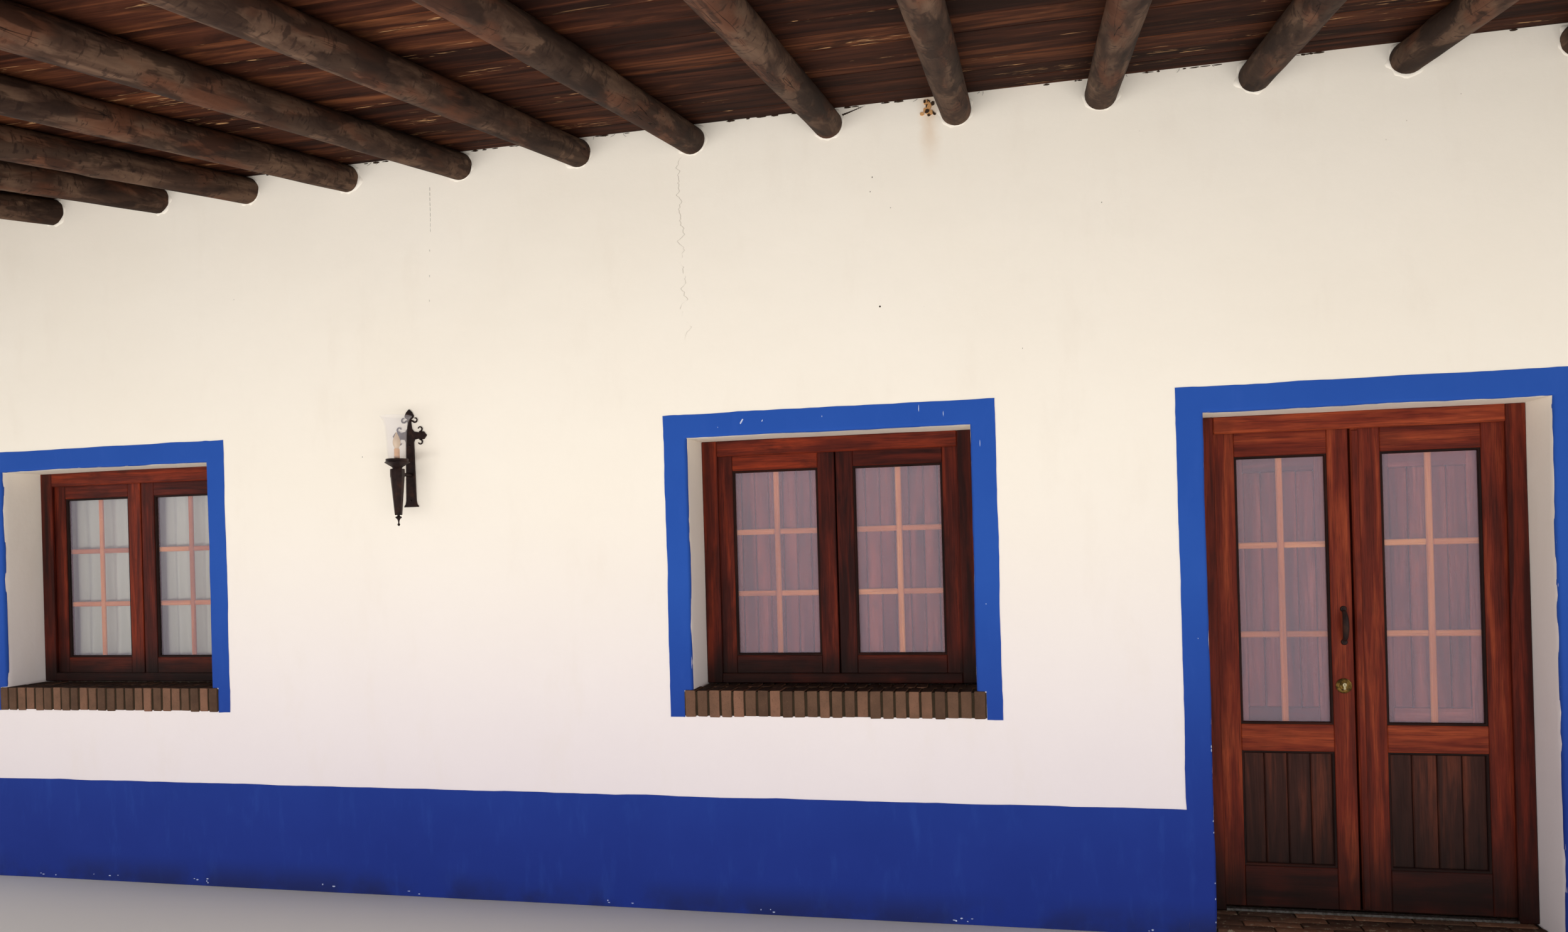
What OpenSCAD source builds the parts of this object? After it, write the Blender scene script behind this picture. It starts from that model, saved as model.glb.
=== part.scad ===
// Single-storey limewashed farmhouse with a deep lean-to porch of round poles.
// Millimetres. +X runs along the front, +Y goes into the house, +Z is up.
// The ground is z = 0, and the origin is at the centre of the whole footprint.

/* [House] */
// Length along the front
house_l = 9450; // [9200:50:12000]
// Depth from the front face to the back face
house_d = 5400; // [4200:50:8000]
// Thickness of the earth walls, plaster included
wall_t = 500; // [420:10:600]
// Floor and threshold above the ground
floor_z = 35; // [25:5:60]
// Top of the front wall's lower lift, where the head with the pole pockets starts
lift_z = 3150; // [2900:10:3200]

/* [Porch] */
// Underside of the porch boards where they meet the wall
ceiling_z = 3496; // [3450:2:3700]
// Fall of the porch roof towards the yard
porch_pitch = 9.5; // [7:0.5:12]
// Wall face to the middle of the porch beam
porch_d = 4200; // [3000:50:4400]
// Thickness of a porch pole
pole_d = 130; // [110:1:150]
// Number of porch poles
pole_n = 16; // [12:2:16]
// Spacing of the porch poles
pole_pitch = 575; // [520:5:600]
// Depth to which the poles are bedded in the wall
pole_bed = 220; // [150:10:300]
// Pole ends past the middle of the beam
pole_tail = 260; // [150:10:350]
// Porch boards past the ends of the poles
drip = 40; // [20:5:60]
// Thickness of the round beam that carries the poles
beam_d = 190; // [160:5:230]
// Depth of the flat seat cut in each pole over the beam
seat_cut = 8; // [4:1:15]
// Thickness of a porch post
post_d = 165; // [140:5:200]
// Number of porch posts
post_n = 5; // [4:1:6]
// House end to the middle of the end post
post_inset = 225; // [150:5:400]
// How far a post's saddle rises beside the beam
saddle = 28; // [10:1:45]

/* [Roof] */
// Pitch of the main roof
roof_pitch = 22; // [18:1:28]
// Thickness of the roof boards
board_t = 22; // [18:1:30]
// Mortar bed and lower tiles, as one layer
tile_bed = 45; // [35:1:60]
// Outer radius of a cover tile
tile_r = 75; // [60:1:85]
// Spacing of the cover tile rows
tile_pitch = 210; // [190:1:230]
// Boards and tiles past the end walls
verge = 60; // [0:5:120]
// Boards past the front and back walls
eave = 130; // [80:5:200]
// Wall between the porch tiles and the main roof's boards
upstand = 130; // [110:5:200]
// Width of a rafter
rafter_w = 90; // [70:5:110]
// Depth of a rafter
rafter_h = 120; // [100:5:150]
// Number of rafter pairs
rafter_n = 9; // [7:1:11]
// Rafter feet bedded in the front and back walls
rafter_bed = 300; // [200:10:350]
// Width of the ridge board
ridge_w = 50; // [40:5:70]
// Depth of the ridge board
ridge_h = 220; // [180:10:260]
// Outer radius of a ridge tile
ridge_tile_r = 120; // [100:1:140]
// Thickness of a ridge tile
ridge_tile_t = 16; // [10:1:22]

/* [Openings] */
// Top of the windows and the doorway
lintel_z = 2108; // [2050:1:2200]
// Top of the window sills
sill_z = 985; // [900:5:1100]
// Width of a window
win_w = 1250; // [1100:5:1300]
// Middle of the left window
left_win_x = -2916; // [-3000:1:-2800]
// Middle of the window beside the door
mid_win_x = 835; // [780:1:900]
// House middle to the middle of each back window
back_win_x = 2300; // [1500:10:3200]
// Left jamb of the doorway
door_x = 2385; // [2380:1:2450]
// Width of the doorway
door_w = 1240; // [1180:5:1300]
// Wall face to the face of the frames
reveal = 230; // [180:5:260]
// Height of the brick sills
brick_h = 120; // [100:5:140]
// Brick sill past each jamb
sill_ear = 38; // [20:1:60]
// Depth of the wider front part of a brick sill
sill_front = 115; // [80:5:150]
// Brick sill proud of the wall
sill_proud = 10; // [4:1:25]

/* [Joinery] */
// Width of the frame's face
frame_w = 72; // [60:1:85]
// Depth of a frame
frame_t = 70; // [60:1:80]
// Thickness of the frame's outer lip
lip_t = 20; // [15:1:22]
// Lip over the edge of a sash or leaf
lip = 12; // [10:1:15]
// Visible foot of the window frames
frame_foot = 45; // [35:1:60]
// Visible width of a sash stile and top rail
sash_w = 68; // [60:1:80]
// Visible height of a sash's bottom rail
sash_foot = 80; // [65:1:100]
// Meeting stile of a sash
meet_w = 78; // [65:1:85]
// Gap between two fixed sashes
sash_gap = 7; // [4:1:9]
// Thickness of a sash or leaf
leaf_t = 45; // [40:1:48]
// Clearance round a door leaf, in its rebate
leaf_gap = 6; // [5:0.5:8]
// Gap between the two door leaves
meet_gap = 9; // [8:0.5:12]
// Left leaf's visible width
left_leaf_w = 524; // [500:1:540]
// Under the leaves, above the floor
leaf_lift = 15; // [13:1:20]
// Stiles of the leaves
stile_w = 82; // [75:1:95]
// Top rail of the leaves
top_rail = 98; // [80:1:110]
// Foot of the panes above the ground
pane_foot_z = 815; // [780:5:850]
// Rail between pane and panel
lock_rail = 112; // [100:1:130]
// Foot of the panels above the ground
panel_foot_z = 221; // [190:1:250]
// Groove that houses a pane or panel
housing = 8; // [6:1:10]
// Thickness of the glass
glass_t = 5; // [4:0.5:6]
// Thickness of the boarded door panels
panel_t = 18; // [16:1:22]
// Boards in a door panel
panel_boards = 4; // [3:1:5]
// Thickness of the inner shutters
shutter_t = 18; // [15:1:22]
// Inner shutters past the opening they close
shutter_lap = 20; // [15:1:30]
// Gap between the two inner shutters of a window
shutter_gap = 4; // [3:1:6]
// Width of the cover strip on the right leaf
strip_w = 28; // [22:1:35]
// Thickness of the cover strip
strip_t = 8; // [6:1:10]
// Height of the weather bar on the threshold
bar_h = 9; // [6:1:10]
// Depth of the weather bar
bar_w = 30; // [20:1:40]

/* [Ironmongery] */
// Radius of a hinge knuckle
knuckle_r = 8; // [7:0.5:9]
// Radius of a hinge pin
pin_r = 4; // [3:0.5:4.5]
// Length of one knuckle
knuckle_h = 50; // [40:5:60]
// Pin short of the top of the upper knuckle
pin_short = 6; // [4:1:10]
// Thickness of a hinge plate
plate_t = 4; // [3:0.5:5]
// Play between a hinge pin and its bore
pin_play = 0.09; // [0.07:0.01:0.1]
// Hinge plate on the wood
hinge_plate = 38; // [30:1:50]
// Lowest hinge above the ground
hinge_low = 260; // [200:10:400]
// Highest hinge above the ground
hinge_high = 1740; // [1650:10:1780]
// Middle of the pull handle above the ground
handle_z = 1226; // [1150:1:1300]
// Screw to screw on the pull handle
handle_h = 136; // [110:1:150]
// Lock above the ground
lock_z = 977; // [940:1:1010]
// Diameter of the lock's rose
rose_d = 62; // [50:1:68]

/* [Paint] */
// Top of the blue dado
dado_z = 510; // [450:5:600]
// Width of the blue bands round the openings
band_w = 104; // [90:1:130]
// Thickness of the blue coat
paint_t = 3; // [2:0.5:4]

/* [Curtain] */
// Diameter of the curtain rod
rod_d = 12; // [10:1:16]
// Frame's inner face to the middle of the rod
rod_y = 45; // [35:1:60]
// Thickness of the hanging curtain, folds included
curtain_t = 36; // [24:1:45]

/* [Lamp] */
// Middle of the wall lamp
lamp_x = -1156; // [-1200:1:-1100]
// Foot of the lamp's back plate
lamp_z = 1845; // [1750:5:1950]
// Height of the back plate up to the finial
lamp_h = 463; // [400:1:500]
// Width of the back plate
lamp_w = 50; // [40:1:60]
// Thickness of the back plate
lamp_t = 8; // [5:1:10]
// Wall face to the middle of the torch
lamp_reach = 115; // [100:1:130]
// Torch's finial below the foot of the back plate
torch_drop = 90; // [60:5:120]
// Height of the torch from its finial to the floor of its cup
torch_h = 302; // [280:1:330]
// Radius of the torch's tapered body under its neck
torch_r = 33; // [28:1:36]
// Radius of the tapered body at its foot
torch_foot_r = 17; // [14:1:20]
// Radius of the cup's rim
cup_r = 56; // [52:1:62]
// Height of the glass chimney
chimney_h = 208; // [190:1:220]
// Radius at the foot of the glass chimney
chimney_foot_r = 42; // [38:1:43]
// Thickness of the chimney's glass
chimney_t = 3; // [2:0.5:4]
// Stay between plate and torch, above the plate's foot
stay_z = 150; // [60:5:155]
// Radius of the stay
stay_r = 9; // [6:1:10]
// Radius at the mouth of the glass chimney
chimney_r = 72; // [60:1:75]

/* [Hidden] */
$fn = 48;
seat = 0.3;
over = 1;
beyond = 20000;
tan_porch = tan(porch_pitch);
tan_roof = tan(roof_pitch);
half_l = house_l / 2;
mid_y = house_d / 2;
inner_y = wall_t;
back_y = house_d - wall_t;

// Heights along the two roofs, measured at the wall face
porch_top = ceiling_z + (board_t + tile_bed + tile_r + 2 * seat) / cos(porch_pitch);
eaves_z = porch_top + upstand;
pole_z = ceiling_z - pole_d / 2 / cos(porch_pitch);
beam_top_z = pole_z - porch_d * tan_porch - pole_d / 2 / cos(porch_pitch) + seat_cut;
beam_z = beam_top_z - beam_d / 2 - seat;
post_top_z = beam_z - beam_d / 2 + saddle;
post_step = (house_l - 2 * post_inset) / (post_n - 1);
board_reach = porch_d + pole_tail + drip;
tile_t = tile_bed + tile_r;

// Small sideways settings of the hand-set poles, left to right
pole_sway = [0, 12, 0, 62, 0, -15, 0, 15, -14, 30, 0, 15, 25, 0, 10, -8];

// The drawing is made with the wall face at y = 0, then moved to centre the footprint
roof_t = board_t + tile_t + 2 * seat;
front_reach = board_reach + roof_t * sin(porch_pitch);
back_reach = house_d + eave + roof_t * sin(roof_pitch);
centre_y = (front_reach - back_reach) / 2;

// Door
door_r = door_x + door_w;
leaf_l = door_x + frame_w;
leaf_r = door_r - frame_w;
leaf_y = reveal + lip_t + 5;
leaf_in = leaf_y + leaf_t;
leaf_foot = floor_z + leaf_lift;
leaf_head = lintel_z - frame_w + lip - leaf_gap;
leaf_edge = lip - leaf_gap;
meet_x = leaf_l + left_leaf_w;
knuckle_off = knuckle_r + 1;
hinge_y = leaf_in + knuckle_off;
hinge_gap = leaf_edge + leaf_gap / 2;
left_hinge_x = leaf_l - hinge_gap;
right_hinge_x = leaf_r + hinge_gap;
hinge_levels = [hinge_low, (hinge_low + hinge_high) / 2, hinge_high];
left_stile_x = leaf_l + stile_w;
left_meet_x = meet_x - stile_w;
right_edge_x = meet_x + meet_gap;
right_meet_x = right_edge_x + strip_w + stile_w;
right_stile_x = leaf_r - stile_w;
pane_head_z = lintel_z - frame_w - top_rail;
panel_head_z = pane_foot_z - lock_rail;
handle_x = meet_x - stile_w / 2 + 6;
lock_x = meet_x - stile_w / 2;

// Windows
sash_y = reveal + lip_t;
sash_in = sash_y + leaf_t;
frame_in = reveal + frame_t;
light_head = lintel_z - frame_w - sash_w;
light_foot = sill_z + frame_foot + sash_foot;
glass_y = (leaf_t - glass_t) / 2;

// Corners of the two lights of a window, left then right
LIGHTS = [
    [[frame_w + sash_w - win_w / 2, light_foot], [-sash_gap / 2 - meet_w, light_head]],
    [[sash_gap / 2 + meet_w, light_foot], [win_w / 2 - frame_w - sash_w, light_head]]
];
rod_z = lintel_z - frame_w / 2;

// Lamp
cup_z = lamp_z - torch_drop + torch_h;
finial_h = 0.17 * torch_h;
neck_z = 0.87 * torch_h;
arm_z = lamp_h - 126;

// A block given by its two corners
module block(low, high) {
    translate(low) cube(high - low);
}

// A profile drawn in depth and height, drawn out along the front from x0 to x1
module along_front(x0, x1) {
    translate([x0, 0, 0]) rotate([90, 0, 90]) linear_extrude(x1 - x0) children();
}

// Copies the back half of a roof from its front half
module to_back() {
    translate([0, house_d, 0]) mirror([0, 1, 0]) children();
}

// Height of the underside of the main roof's boards
function roof_z(y) = eaves_z + min(y, house_d - y) * tan_roof;

// Middle of the porch pole with this number
function pole_x(i) = (i - (pole_n - 1) / 2) * pole_pitch + pole_sway[i];

// Middle of the rafter pair with this number
function rafter_x(i) = (i - (rafter_n - 1) / 2) * (house_l - 2 * wall_t - rafter_w) / (rafter_n - 1);

// Ground floor

module floor_slab() {
    color("indianred")
        block([-half_l + wall_t, inner_y, 0], [half_l - wall_t, back_y, floor_z]);
}

module threshold() {
    color("saddlebrown") block([door_x, 0, 0], [door_r, wall_t, floor_z]);
}

// Walls

// Copies what is drawn at x = 0 to each window of the front
module at_front_windows() {
    for (x = [left_win_x, mid_win_x]) translate([x, 0, 0]) children();
}

// Copies what is drawn at x = 0 to each window of the back, facing outwards
module at_back_windows() {
    to_back() for (x = [-back_win_x, back_win_x]) translate([x, 0, 0]) children();
}

// Window hole with the deeper bed of its brick sill
module window_hole() {
    block([-win_w / 2, -over, sill_z], [win_w / 2, wall_t + over, lintel_z]);
    sill_shape(over);
}

module front_wall_left() {
    color("linen") difference() {
        block([-half_l, 0, 0], [door_x, wall_t, lift_z]);
        at_front_windows() window_hole();
    }
}

module front_wall_right() {
    color("linen") block([door_r, 0, 0], [half_l, wall_t, lift_z]);
}

module front_wall_over_door() {
    color("linen") block([door_x, 0, lintel_z], [door_r, wall_t, lift_z]);
}

module front_wall_head() {
    color("linen") difference() {
        along_front(-half_l, half_l) polygon([
            [0, lift_z], [wall_t, lift_z],
            [wall_t, roof_z(wall_t)], [0, roof_z(0)]
        ]);
        for (i = [0:pole_n - 1]) pole(i, seat);
        rafter_beds();
    }
}

module back_wall() {
    color("linen") difference() {
        along_front(-half_l, half_l) polygon([
            [back_y, 0], [house_d, 0],
            [house_d, roof_z(house_d)], [back_y, roof_z(back_y)]
        ]);
        to_back() rafter_beds();
        at_back_windows() window_hole();
    }
}

module gable_walls() {
    color("linen") difference() {
        for (x = [-half_l, half_l - wall_t]) along_front(x, x + wall_t) polygon([
            [inner_y, 0], [back_y, 0], [back_y, roof_z(back_y)],
            [mid_y, roof_z(mid_y)], [inner_y, roof_z(inner_y)]
        ]);
        ridge_board_shape(seat);
    }
}

// Blue paint

module dado() {
    color("royalblue") {
        block([-half_l, -paint_t, 0], [door_x - band_w, 0, dado_z]);
        block([door_r + band_w, -paint_t, 0], [half_l, 0, dado_z]);
        difference() {
            block(
                [-half_l - paint_t, 0, 0],
                [half_l + paint_t, house_d + paint_t, dado_z]
            );
            block([-half_l, -over, -over], [half_l, house_d, dado_z + over]);
        }
    }
}

// A band round a window, open at the foot and notched for the ends of the sill
module window_surround() {
    difference() {
        block(
            [-win_w / 2 - band_w, -paint_t, sill_z - brick_h],
            [win_w / 2 + band_w, 0, lintel_z + band_w]
        );
        block([-win_w / 2, -4 * over, 0], [win_w / 2, over, lintel_z]);
        sill_shape(4 * over);
    }
}

module window_surrounds() {
    color("royalblue") {
        at_front_windows() window_surround();
        at_back_windows() window_surround();
    }
}

module door_surround() {
    color("royalblue") difference() {
        block(
            [door_x - band_w, -paint_t, 0],
            [door_r + band_w, 0, lintel_z + band_w]
        );
        block([door_x, -paint_t - over, -over], [door_r, over, lintel_z]);
    }
}

// Windows

// Frame with an outer lip and a rebate behind it, for an opening of this size
module rebated_frame(x, z, w, h, foot, rebate_foot) {
    difference() {
        block([x, reveal, z], [x + w, frame_in, z + h]);
        block(
            [x + frame_w, reveal - over, z + foot],
            [x + w - frame_w, frame_in + over, z + h - frame_w]
        );
        block(
            [x + frame_w - lip, reveal + lip_t, z + rebate_foot],
            [x + w - frame_w + lip, frame_in + over, z + h - frame_w + lip]
        );
    }
}

// A glazed or boarded ring with a groove for what it holds
module ring(low, high, y, light_low, light_high, groove_y, groove_t) {
    difference() {
        block([low[0], y, low[1]], [high[0], y + leaf_t, high[1]]);
        block(
            [light_low[0], y - over, light_low[1]],
            [light_high[0], y + leaf_t + over, light_high[1]]
        );
        block(
            [light_low[0] - housing, groove_y, light_low[1] - housing],
            [light_high[0] + housing, groove_y + groove_t, light_high[1] + housing]
        );
    }
}

// What fills a ring's groove, with a little play all round
module filling(light_low, light_high, y, t) {
    block(
        [light_low[0] - housing + seat, y, light_low[1] - housing + seat],
        [light_high[0] + housing - seat, y + t, light_high[1] + housing - seat]
    );
}

module window_frame() {
    rebated_frame(
        -win_w / 2, sill_z, win_w, lintel_z - sill_z,
        frame_foot, frame_foot - lip
    );
}

module window_frames() {
    color("maroon") {
        at_front_windows() window_frame();
        at_back_windows() window_frame();
    }
}

module window_sash_pair() {
    edge = win_w / 2 - frame_w + lip - seat;
    foot = sill_z + frame_foot - lip + seat;
    head = lintel_z - frame_w + lip - seat;
    ring(
        [-edge, foot], [-sash_gap / 2, head], sash_y,
        LIGHTS[0][0], LIGHTS[0][1], sash_y + glass_y, glass_t
    );
    ring(
        [sash_gap / 2, foot], [edge, head], sash_y,
        LIGHTS[1][0], LIGHTS[1][1], sash_y + glass_y, glass_t
    );
}

module window_sashes() {
    color("brown") {
        at_front_windows() window_sash_pair();
        at_back_windows() window_sash_pair();
    }
}

module window_panes() {
    for (light = LIGHTS) filling(light[0], light[1], sash_y + glass_y, glass_t);
}

module window_glass() {
    color("lightblue", 0.4) {
        at_front_windows() window_panes();
        at_back_windows() window_panes();
    }
}

// Brick sill: a wide front that passes the jambs, and a narrower back up to the frame
module sill_shape(proud) {
    block(
        [-win_w / 2 - sill_ear, -proud, sill_z - brick_h],
        [win_w / 2 + sill_ear, sill_front, sill_z]
    );
    block(
        [-win_w / 2, sill_front - over, sill_z - brick_h],
        [win_w / 2, reveal, sill_z]
    );
}

module window_sills() {
    color("rosybrown") {
        at_front_windows() sill_shape(sill_proud);
        at_back_windows() sill_shape(sill_proud);
    }
}

// A pair of boarded shutters on the room side of a window frame
module shutter_pair() {
    edge = win_w / 2 - frame_w + lip + shutter_lap;
    foot = sill_z + frame_foot - lip - shutter_lap;
    head = lintel_z - frame_w + lip + shutter_lap;
    for (side = [[-edge, -shutter_gap / 2], [shutter_gap / 2, edge]])
        block([side[0], frame_in, foot], [side[1], frame_in + shutter_t, head]);
}

module window_shutters() {
    color("sienna") {
        translate([mid_win_x, 0, 0]) shutter_pair();
        at_back_windows() shutter_pair();
    }
}

module curtain_rod() {
    color("dimgray") translate([left_win_x - win_w / 2, frame_in + rod_y, rod_z])
        rotate([0, 90, 0]) cylinder(h = win_w, d = rod_d);
}

module curtains() {
    edge = win_w / 2 - 20;
    parting = 5;
    low_z = sill_z + 12;
    high_z = rod_z - rod_d / 2 - seat;
    y = frame_in + rod_y - curtain_t / 2;
    color("whitesmoke") {
        block([left_win_x - edge, y, low_z], [left_win_x - parting, y + curtain_t, high_z]);
        block([left_win_x + parting, y, low_z], [left_win_x + edge, y + curtain_t, high_z]);
    }
}

// Door

module door_frame() {
    color("maroon") difference() {
        rebated_frame(door_x, floor_z, door_w, lintel_z - floor_z, -over, -over);
        block([leaf_l - lip, 0, 0], [leaf_r + lip, frame_in + over, floor_z]);
    }
}

module weather_bar() {
    color("dimgray") block(
        [leaf_l + seat, reveal, floor_z],
        [leaf_r - seat, reveal + bar_w, floor_z + bar_h]
    );
}

// A door leaf between two edges, with a pane above and a boarded panel below
module leaf(x0, x1, light_x0, light_x1) {
    color("brown") difference() {
        ring(
            [x0, leaf_foot], [x1, leaf_head], leaf_y,
            [light_x0, pane_foot_z], [light_x1, pane_head_z], leaf_y + glass_y, glass_t
        );
        block(
            [light_x0, leaf_y - over, panel_foot_z],
            [light_x1, leaf_in + over, panel_head_z]
        );
        block(
            [light_x0 - housing, leaf_y + glass_y, panel_foot_z - housing],
            [light_x1 + housing, leaf_y + glass_y + panel_t, panel_head_z + housing]
        );
    }
}

// Boards with a V-groove on the outer face wherever two of them meet
module leaf_panel(light_x0, light_x1) {
    step = (light_x1 - light_x0) / panel_boards;
    groove = 9;
    color("saddlebrown") difference() {
        filling(
            [light_x0, panel_foot_z], [light_x1, panel_head_z], leaf_y + glass_y, panel_t
        );
        for (i = [1:panel_boards - 1])
            translate([light_x0 + i * step, leaf_y + glass_y, panel_foot_z - 2 * housing])
                rotate([0, 0, 45])
                    translate([-groove / 2, -groove / 2, 0])
                        cube([groove, groove, panel_head_z - panel_foot_z + 4 * housing]);
    }
}

module leaf_glass(light_x0, light_x1) {
    color("lightblue", 0.4) filling(
        [light_x0, pane_foot_z], [light_x1, pane_head_z], leaf_y + glass_y, glass_t
    );
}

// Boarded shutter on the room side of a leaf, over its pane
module leaf_shutter(light_x0, light_x1) {
    color("sienna") block(
        [light_x0 - shutter_lap, leaf_in, pane_foot_z - shutter_lap],
        [light_x1 + shutter_lap, leaf_in + shutter_t, pane_head_z + shutter_lap]
    );
}

// Lower half of a lift-off hinge: a knuckle with its pin, and a plate towards side
module pin_half(x, side) {
    for (z = hinge_levels) translate([x, hinge_y, z]) {
        cylinder(h = knuckle_h, r = knuckle_r);
        cylinder(h = 2 * knuckle_h - pin_short, r = pin_r);
        hinge_flag(side, 0);
    }
}

// Upper half: a bored knuckle that turns on the pin, and a plate towards side
module bored_half(x, side) {
    for (z = hinge_levels) translate([x, hinge_y, z]) difference() {
        union() {
            translate([0, 0, knuckle_h + seat]) cylinder(h = knuckle_h, r = knuckle_r);
            hinge_flag(side, knuckle_h + seat);
        }
        cylinder(h = 3 * knuckle_h, r = pin_r + pin_play);
    }
}

// Plate that lies on the wood beside a knuckle
module hinge_flag(side, z) {
    low = side > 0 ? 0 : -hinge_plate;
    translate([low, -knuckle_off, z]) cube([hinge_plate, plate_t, knuckle_h]);
}

module hinge_pins() {
    color("dimgray") {
        pin_half(left_hinge_x, -1);
        pin_half(right_hinge_x, 1);
    }
}

module left_leaf() {
    leaf(leaf_l - leaf_edge, meet_x, left_stile_x, left_meet_x);
}

module left_leaf_panel() {
    leaf_panel(left_stile_x, left_meet_x);
}

module left_leaf_glass() {
    leaf_glass(left_stile_x, left_meet_x);
}

module left_leaf_shutter() {
    leaf_shutter(left_stile_x, left_meet_x);
}

module left_leaf_hinges() {
    color("dimgray") bored_half(left_hinge_x, 1);
}

module right_leaf() {
    leaf(right_edge_x, leaf_r + leaf_edge, right_meet_x, right_stile_x);
}

module right_leaf_panel() {
    leaf_panel(right_meet_x, right_stile_x);
}

module right_leaf_glass() {
    leaf_glass(right_meet_x, right_stile_x);
}

module right_leaf_shutter() {
    leaf_shutter(right_meet_x, right_stile_x);
}

module right_leaf_hinges() {
    color("dimgray") bored_half(right_hinge_x, -1);
}

module cover_strip() {
    color("maroon") block(
        [right_edge_x + 2, leaf_y - strip_t, leaf_foot + 6],
        [right_edge_x + strip_w, leaf_y, leaf_head - lip]
    );
}

// Iron pull: two round lugs and a bowed grip between them
module door_handle() {
    grip_r = 9;
    lug_r = 13;
    stand = 32;
    color("black") translate([handle_x, leaf_y, handle_z]) {
        for (end = [-1, 1]) translate([0, 0, end * handle_h / 2]) rotate([90, 0, 0]) {
            cylinder(h = 7, r = lug_r);
            translate([0, -end * (lug_r - 2), 0]) cylinder(h = stand, r = grip_r - 1);
        }
        translate([0, -stand, -handle_h / 2 + lug_r - 2 - grip_r])
            cylinder(h = handle_h - 2 * lug_r + 4 + 2 * grip_r, r = grip_r);
    }
}

// Round brass rose with the proud nose of a key cylinder
module door_lock() {
    color("goldenrod") translate([lock_x, leaf_y, lock_z]) rotate([90, 0, 0]) {
        cylinder(h = 6, d = rose_d);
        translate([0, 5, 0]) cylinder(h = 11, d = 17);
        translate([-5, -16, 0]) cube([10, 20, 11]);
    }
}

// Porch

// One pole, with play round it where it cuts its pocket
module pole(i, play) {
    rise = pole_bed / cos(porch_pitch);
    run = (porch_d + pole_tail) / cos(porch_pitch);
    translate([pole_x(i), 0, pole_z]) rotate([porch_pitch - 90, 0, 0])
        translate([0, 0, -run]) cylinder(h = run + rise, r = pole_d / 2 + play);
}

module porch_poles() {
    color("dimgray") difference() {
        for (i = [0:pole_n - 1]) pole(i, 0);
        block([-half_l, -porch_d - beam_d / 2, 0], [half_l, -porch_d + beam_d / 2, beam_top_z]);
    }
}

module beam(play) {
    translate([-half_l, -porch_d, beam_z]) rotate([0, 90, 0])
        cylinder(h = house_l, r = beam_d / 2 + play);
}

module porch_beam() {
    color("dimgray") beam(0);
}

module porch_posts() {
    color("dimgray") difference() {
        for (i = [0:post_n - 1])
            translate([-half_l + post_inset + i * post_step, -porch_d, 0])
                cylinder(h = post_top_z, d = post_d);
        beam(seat);
    }
}

// Lays what is drawn along the slope on the poles, seated this high, and cuts it at the wall
module on_porch(height) {
    difference() {
        translate([0, 0, ceiling_z]) rotate([porch_pitch, 0, 0])
            translate([0, 0, height]) children();
        block([-beyond, -seat, 0], [beyond, house_d, beyond]);
    }
}

module porch_boards() {
    color("sienna") on_porch(seat) block(
        [-half_l - verge, -board_reach / cos(porch_pitch), 0],
        [half_l + verge, tile_t, board_t]
    );
}

// Section of a tiled roof: a bed with a row of round cover tiles on it
module tile_section() {
    rows = floor((house_l + 2 * verge) / tile_pitch);
    translate([-half_l - verge, 0]) square([house_l + 2 * verge, tile_bed]);
    intersection() {
        translate([-half_l - verge, 0])
            square([house_l + 2 * verge, tile_t]);
        for (i = [0:rows - 1])
            translate([(i - (rows - 1) / 2) * tile_pitch, tile_bed]) circle(r = tile_r);
    }
}

module porch_tiles() {
    color("peru") on_porch(board_t + 2 * seat)
        translate([0, tile_t, 0]) rotate([90, 0, 0])
            linear_extrude(board_reach / cos(porch_pitch) + tile_t) tile_section();
}

// Main roof

// Feet of the front rafters, open at the top of the wall
module rafter_beds() {
    for (i = [0:rafter_n - 1]) along_front(
        rafter_x(i) - rafter_w / 2 - seat, rafter_x(i) + rafter_w / 2 + seat
    ) rafter_section(seat, 2 * over);
}

// Side view of a front rafter, with play below and behind, and grown at the top
module rafter_section(play, up) {
    drop = rafter_h / cos(roof_pitch) + play;
    foot_y = wall_t - rafter_bed - play;
    head_y = mid_y - ridge_w / 2 - seat + play;
    polygon([
        [foot_y, roof_z(foot_y) - drop], [head_y, roof_z(head_y) - drop],
        [head_y, roof_z(head_y) + up], [foot_y, roof_z(foot_y) + up]
    ]);
}

module front_rafters() {
    for (i = [0:rafter_n - 1])
        along_front(rafter_x(i) - rafter_w / 2, rafter_x(i) + rafter_w / 2)
            rafter_section(0, 0);
}

module rafters() {
    color("dimgray") {
        front_rafters();
        to_back() front_rafters();
    }
}

module ridge_board_shape(play) {
    head = roof_z(mid_y - ridge_w / 2);
    block(
        [-half_l + wall_t / 2 - play, mid_y - ridge_w / 2 - play, head - ridge_h - play],
        [half_l - wall_t / 2 + play, mid_y + ridge_w / 2 + play, head + play]
    );
}

module ridge_board() {
    color("dimgray") ridge_board_shape(0);
}

// Lays what is drawn along the slope on the rafters, seated this high, and cuts it at the ridge
module on_front_slope(height) {
    difference() {
        translate([0, -eave, eaves_z - eave * tan_roof]) rotate([roof_pitch, 0, 0])
            translate([0, 0, height]) children();
        block([-beyond, mid_y - seat, 0], [beyond, beyond, beyond]);
    }
}

// Boards of the front slope
module front_boards() {
    on_front_slope(seat) block(
        [-half_l - verge, 0, 0],
        [half_l + verge, (mid_y + eave) / cos(roof_pitch) + tile_t, board_t]
    );
}

module roof_boards() {
    color("sienna") {
        front_boards();
        to_back() front_boards();
    }
}

module roof_tiles() {
    run = (mid_y + eave) / cos(roof_pitch) + tile_t;
    color("peru") on_front_slope(board_t + 2 * seat)
        translate([0, run, 0]) rotate([90, 0, 0]) linear_extrude(run) tile_section();
}

module front_roof_tiles() {
    roof_tiles();
}

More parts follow.
